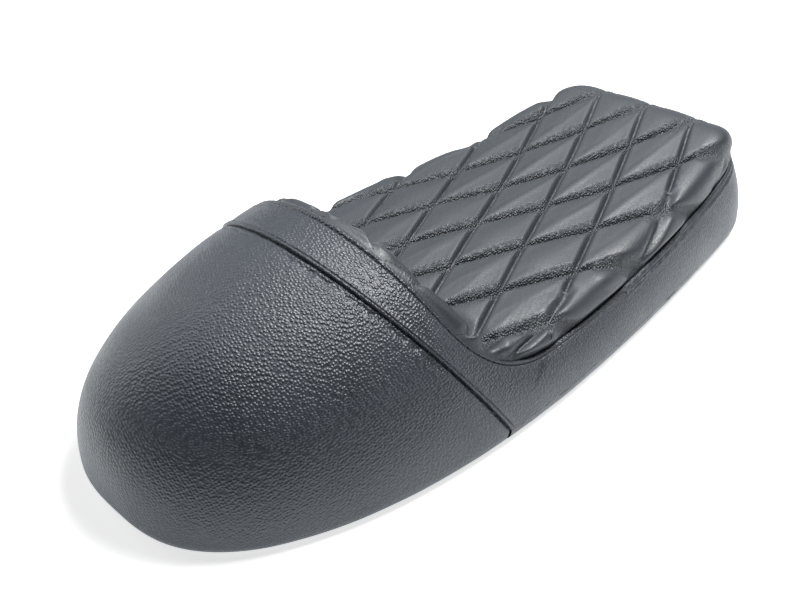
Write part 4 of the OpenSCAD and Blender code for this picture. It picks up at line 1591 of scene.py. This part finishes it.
class RepeatTree:
    """A Geometry Nodes tree that sets one small shape after another along lines."""

    def __init__(self, name: str, staple: bool) -> None:
        """Builds the tree.

        Args:
            name: The tree's name.
            staple: Whether the shape is a wire staple, or else a stitch.
        """
        self.tree = bpy.data.node_groups.new(name, "GeometryNodeTree")
        face = self.tree.interface
        face.new_socket("Lines", in_out="INPUT", socket_type="NodeSocketGeometry")
        kinds = {"Pitch": "Float", "Length": "Float", "Width": "Float", "Height": "Float", "Lift": "Float",
                 "Seed": "Int", "Finish": "Material"}
        self.keys: dict[str, str] = {}
        for key, kind in kinds.items():
            item = face.new_socket(key, in_out="INPUT", socket_type=f"NodeSocket{kind}")
            self.keys[key] = item.identifier
        face.new_socket("Run", in_out="OUTPUT", socket_type="NodeSocketGeometry")
        n = Nodes(self.tree)
        ins = n.add("NodeGroupInput").outputs
        curve = n.add("GeometryNodeMeshToCurve", {"Mesh": ins["Lines"]}).outputs[0]
        sampled = n.add("GeometryNodeResampleCurve", {"Curve": curve, "Length": ins["Pitch"]}, mode="LENGTH")
        tangent = n.add("GeometryNodeInputTangent").outputs[0]
        up = n.add("GeometryNodeInputNamedAttribute", values={"Name": "up"}, data_type="FLOAT_VECTOR").outputs[0]
        turn = n.add("FunctionNodeAxesToRotation", {"Primary Axis": tangent, "Secondary Axis": up},
                     primary_axis="X", secondary_axis="Z").outputs[0]
        shape = self.staple(n, ins) if staple else self.stitch(n, ins)
        chance = n.add("FunctionNodeRandomValue", {"Seed": ins["Seed"]}, data_type="FLOAT_VECTOR")
        chance.inputs[0].default_value = (0.9, 0.88, 0.85)
        chance.inputs[1].default_value = (1.08, 1.1, 1.12)
        placed = n.add("GeometryNodeInstanceOnPoints",
                       {"Points": sampled.outputs[0], "Instance": shape, "Rotation": turn,
                        "Scale": chance.outputs[0]})
        raised = n.add("ShaderNodeVectorMath", {0: up, "Scale": ins["Lift"]}, operation="SCALE").outputs[0]
        moved = n.add("GeometryNodeTranslateInstances", {"Instances": placed.outputs[0], "Translation": raised},
                      {"Local Space": False}).outputs[0]
        real = n.add("GeometryNodeRealizeInstances", {"Geometry": moved}).outputs[0]
        soft = n.add("GeometryNodeSetShadeSmooth", {"Geometry": real}, {"Shade Smooth": not staple}).outputs[0]
        done = n.add("GeometryNodeSetMaterial", {"Geometry": soft, "Material": ins["Finish"]}).outputs[0]
        n.add("NodeGroupOutput", {0: done})

    @staticmethod
    def size(n: Nodes, ins: bpy.types.NodeOutputs) -> Socket:
        """Adds the tree's length, width and height as one vector."""
        return n.add("ShaderNodeCombineXYZ", {"X": ins["Length"], "Y": ins["Width"], "Z": ins["Height"]}).outputs[0]

    @staticmethod
    def stitch(n: Nodes, ins: bpy.types.NodeOutputs) -> Socket:
        """Adds a rounded stitch and returns its geometry."""
        size = RepeatTree.size(n, ins)
        ball = n.add("GeometryNodeMeshUVSphere", values={"Segments": 6, "Rings": 4, "Radius": 0.5}).outputs[0]
        return n.add("GeometryNodeTransform", {"Geometry": ball, "Scale": size}).outputs[0]

    @staticmethod
    def staple(n: Nodes, ins: bpy.types.NodeOutputs) -> Socket:
        """Adds a staple's crown and its two legs and returns their geometry.

        Args:
            n: The tree's nodes.
            ins: The tree's inputs.

        Returns:
            The geometry.
        """
        crown = n.add("GeometryNodeMeshCube", {"Size": RepeatTree.size(n, ins)}).outputs[0]
        leg_size = n.add("ShaderNodeCombineXYZ", {"X": ins["Height"], "Y": ins["Width"],
                                                 "Z": n.math("MULTIPLY", ins["Height"], 4.0)})
        leg = n.add("GeometryNodeMeshCube", {"Size": leg_size.outputs[0]}).outputs[0]
        join = n.add("GeometryNodeJoinGeometry", {0: crown})
        drop = n.math("MULTIPLY", ins["Height"], -1.5)
        for sign in (-0.5, 0.5):
            at = n.math("MULTIPLY", n.math("SUBTRACT", ins["Length"], ins["Height"]), sign)
            spot = n.add("ShaderNodeCombineXYZ", {"X": at, "Z": drop}).outputs[0]
            placed = n.add("GeometryNodeTransform", {"Geometry": leg, "Translation": spot}).outputs[0]
            n.tree.links.new(placed, join.inputs[0])
        return join.outputs[0]

    def run(self, name: str, lines: list[list[tuple[Vector, Vector]]], sizes: RunSizes,
            material: bpy.types.Material, seed: int, closed: bool = False) -> bpy.types.Object:
        """Sets the shape along lines and turns the result into a plain mesh.

        Args:
            name: The piece's name.
            lines: Lines of points with the direction that the shape faces.
            sizes: The shape's sizes and its pitch.
            material: Its finish.
            seed: The seed of its small differences.
            closed: Whether each line closes on itself.

        Returns:
            The piece.
        """
        points = [p for line in lines for p, _ in line]
        edges, start = [], 0
        for line in lines:
            edges += [(start + i, start + i + 1) for i in range(len(line) - 1)]
            if closed:
                edges.append((start + len(line) - 1, start))
            start += len(line)
        mesh = bpy.data.meshes.new(name)
        mesh.from_pydata([tuple(p * MM) for p in points], edges, [])
        ups = mesh.attributes.new("up", "FLOAT_VECTOR", "POINT")
        ups.data.foreach_set("vector", [c for line in lines for _, u in line for c in u])
        piece = bpy.data.objects.new(name, mesh)
        bpy.context.scene.collection.objects.link(piece)
        repeat = piece.modifiers.new("repeat", "NODES")
        repeat.node_group = self.tree
        for key, value in (("Pitch", sizes.pitch), ("Length", sizes.length), ("Width", sizes.width),
                           ("Height", sizes.height), ("Lift", sizes.lift)):
            repeat[self.keys[key]] = value * MM
        repeat[self.keys["Seed"]] = seed
        repeat[self.keys["Finish"]] = material
        applied(piece)
        return piece


@dataclass
class Threads:
    """The threads of the seams and of the quilting."""

    band: SideBand
    quilt: QuiltedPanel
    finishes: Finishes
    seam: RunSizes = RunSizes(4.2, 3.3, 0.8, 0.7, -0.05)
    quilting: RunSizes = RunSizes(3.4, 2.2, 0.9, 0.7, 0.0)

    def build(self) -> list[bpy.types.Object]:
        """Builds the threads.

        Returns:
            The pieces.
        """
        tree = RepeatTree("stitch_run", staple=False)
        thread = self.finishes.get(Finish.THREAD)
        pieces = [
            tree.run("border_top_stitches", [self.band.path(self.band.border_stitch, True)], self.seam,
                     thread, 11, closed=True),
            tree.run("rear_top_stitches", [self.band.path(self.band.rear_stitch, False)], self.seam, thread, 12),
            tree.run("quilting_stitches", self.quilt.stitch_lines(), self.quilting, thread, 13)]
        for piece, slot in zip(pieces, ("band_vinyl", "band_vinyl", "quilt_vinyl")):
            settle(piece)
        return pieces


@dataclass
class Underside:
    """The pan and its fittings, with the staples that hold the hem."""

    form: SeatForm
    finishes: Finishes
    hem: Hem = field(default_factory=Hem)
    staple: RunSizes = RunSizes(17.0, 10.0, 1.2, 0.5, 0.2)
    staple_z: float = 8.5

    def build(self) -> list[bpy.types.Object]:
        """Dresses the solids under the seat and sets the staples.

        Returns:
            The staples.
        """
        dress = {"base_pan": Finish.PAN, "front_strap": Finish.STRAP, "rear_strap": Finish.STRAP,
                 "weld_nuts": Finish.PLATED, "strap_rivets": Finish.RIVET, "rubber_bumpers": Finish.RUBBER,
                 "bumper_washers": Finish.PLATED, "bumper_screws": Finish.PLATED}
        for node, finish in dress.items():
            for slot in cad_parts[node].material_slots:
                slot.material = self.finishes.get(finish)
        line = []
        steps = 260
        inset = self.hem.face_in + self.form.z.cover_t
        for i in range(2 * steps):
            u, side = (3 * i / steps, -1) if i <= steps else (3 * (2 * steps - i) / steps, 1)
            n = self.form.plan_n(u)
            line.append((self.form.rim_p(u, inset, self.staple_z, side), Vector((n.x, side * n.y, 0))))
        tree = RepeatTree("staple_run", staple=True)
        piece = tree.run("hem_staples", [line], self.staple, self.finishes.get(Finish.PLATED), 21, closed=True)
        settle(piece)
        return [piece]


@dataclass(frozen=True)
class SoftBox:
    """A soft box: its name, its place, the point it faces, its size in metres and its watts."""

    name: str
    place: Point
    aim: Point
    size: tuple[float, float]
    power: float

    def build(self) -> None:
        """Adds the lamp."""
        data = bpy.data.lights.new(self.name, "AREA")
        data.shape = "RECTANGLE"
        data.size, data.size_y = self.size
        data.energy = self.power
        lamp = bpy.data.objects.new(self.name, data)
        lamp.location = self.place
        lamp.rotation_euler = (Vector(self.aim) - Vector(self.place)).to_track_quat("-Z", "Y").to_euler()
        bpy.context.scene.collection.objects.link(lamp)


@dataclass
class Studio:
    """The floor, the lamps and the camera."""

    azimuth: float = -41.21
    elevation: float = 33.91
    roll: float = -3.96
    distance: float = 761.53
    focal_px: float = 1086.3
    target: Point = (-75.1, -34.24, 68.0)
    floor_half: float = 6.0
    floor_paint: float = 0.86
    floor_tint: Point = (0.88, 0.95, 1)
    sky_tint: Point = (0.88, 0.94, 1)
    near_far: tuple[float, float] = (0.45, 1.3)
    near_glow: float = 0.72
    lamps: tuple[SoftBox, ...] = (
        SoftBox("top", (0.53, -0.22, 1.43), (-0.15, 0, 0.1), (0.65, 0.55), 25),
        SoftBox("front", (0.72, 0.18, 1.45), (0, 0, 0.05), (1.0, 0.8), 4),
        SoftBox("left", (-0.6, 1.6, 0.8), (0, 0, 0.05), (1.2, 0.8), 8.5),
        SoftBox("right", (1.25, -1.25, 0.35), (0.1, 0, 0.05), (1.2, 0.5), 1.0))

    def camera(self) -> None:
        """Sets the camera where the photograph was taken from."""
        a, e, r = (math.radians(v) for v in (self.azimuth, self.elevation, self.roll))
        back = Vector((math.sin(a) * math.cos(e), -math.cos(a) * math.cos(e), math.sin(e)))
        right = Vector((math.cos(a), math.sin(a), 0))
        up = back.cross(right)
        x = right * math.cos(r) + up * math.sin(r)
        y = up * math.cos(r) - right * math.sin(r)
        data = bpy.data.cameras.new("camera")
        data.sensor_width = SENSOR_W
        data.lens = self.focal_px / PHOTO_W * SENSOR_W
        data.clip_start, data.clip_end = 0.02, 50
        camera = bpy.data.objects.new("camera", data)
        place = (Vector(self.target) + back * self.distance) * MM
        camera.matrix_world = Matrix([(x[i], y[i], back[i], place[i]) for i in range(3)] + [(0, 0, 0, 1)])
        bpy.context.scene.collection.objects.link(camera)
        bpy.context.scene.camera = camera

    def floor(self) -> None:
        """Lays a pale floor that keeps the seat's shadow."""
        mat = bpy.data.materials.new("floor")
        n = shader_tree(mat)
        path = n.add("ShaderNodeLightPath").outputs
        mirrored = n.math("MAXIMUM", path["Is Glossy Ray"], path["Is Transmission Ray"])
        # Round the seat the floor keeps the shadow; further off it is plain white
        place = n.add("ShaderNodeTexCoord").outputs["Object"]
        away = n.add("ShaderNodeVectorMath", {0: place}, operation="LENGTH").outputs["Value"]
        glow = n.ramp(away, *self.near_far, self.near_glow, 1.0)
        seen = n.math("MAXIMUM", n.math("MULTIPLY", path["Is Camera Ray"], glow), mirrored)
        paint = n.add("ShaderNodeBsdfDiffuse", values={"Color": (*(self.floor_paint,) * 3, 1)}).outputs[0]
        tint = n.blend(path["Is Camera Ray"], self.floor_tint, (1, 1, 1))
        light = n.add("ShaderNodeEmission", {"Strength": seen, "Color": tint}).outputs[0]
        both = n.add("ShaderNodeAddShader", {0: paint, 1: light}).outputs[0]
        n.add("ShaderNodeOutputMaterial", {"Surface": both})
        mesh = bpy.data.meshes.new("floor")
        r = self.floor_half
        mesh.from_pydata([(-r, -r, 0), (r, -r, 0), (r, r, 0), (-r, r, 0)], [], [(0, 1, 2, 3)])
        mesh.materials.append(mat)
        floor = bpy.data.objects.new("floor", mesh)
        bpy.context.scene.collection.objects.link(floor)

    def world(self) -> None:
        """Sets a surround that the camera sees white and that the vinyl mirrors as a soft ceiling."""
        world = bpy.data.worlds.new("surround")
        n = shader_tree(world)
        path = n.add("ShaderNodeLightPath").outputs
        way = n.add("ShaderNodeTexCoord").outputs["Generated"]
        height = n.add("ShaderNodeSeparateXYZ", {"Vector": way}).outputs["Z"]
        overhead = n.add("ShaderNodeVectorMath", {0: way}, {1: (0.2, 0.3, 0.93)}, operation="DOT_PRODUCT")
        ceiling = n.math("ADD", n.ramp(overhead.outputs["Value"], 0.56, 0.88, 0.0, 1.6),
                         n.ramp(height, 0.0, 0.75, 0.55, 0.0))
        mirrored = n.math("MAXIMUM", path["Is Glossy Ray"], path["Is Transmission Ray"])
        strength = n.math("MAXIMUM", n.math("MULTIPLY", mirrored, ceiling), path["Is Camera Ray"])
        tint = n.blend(path["Is Camera Ray"], self.sky_tint, (1, 1, 1))
        sky = n.add("ShaderNodeBackground", {"Strength": strength, "Color": tint}).outputs[0]
        n.add("ShaderNodeOutputWorld", {"Surface": sky})
        bpy.context.scene.world = world

    def build(self) -> None:
        """Builds the stage."""
        self.camera()
        self.floor()
        self.world()
        for lamp in self.lamps:
            lamp.build()
        bpy.context.scene.view_settings.view_transform = "Standard"


def main() -> None:
    """Builds the seat's covers, threads and underside, and the stage."""
    logging.basicConfig(level=logging.INFO, format="%(name)s: %(message)s")
    form = SeatForm(SeatSizes())
    finishes = Finishes()
    HumpCover(form, finishes).build()
    band = SideBand(form, finishes)
    band.build()
    quilt = QuiltedPanel(form, finishes)
    quilt.build()
    Threads(band, quilt, finishes).build()
    Underside(form, finishes).build()
    Studio().build()


if __name__ == "__main__":
    main()
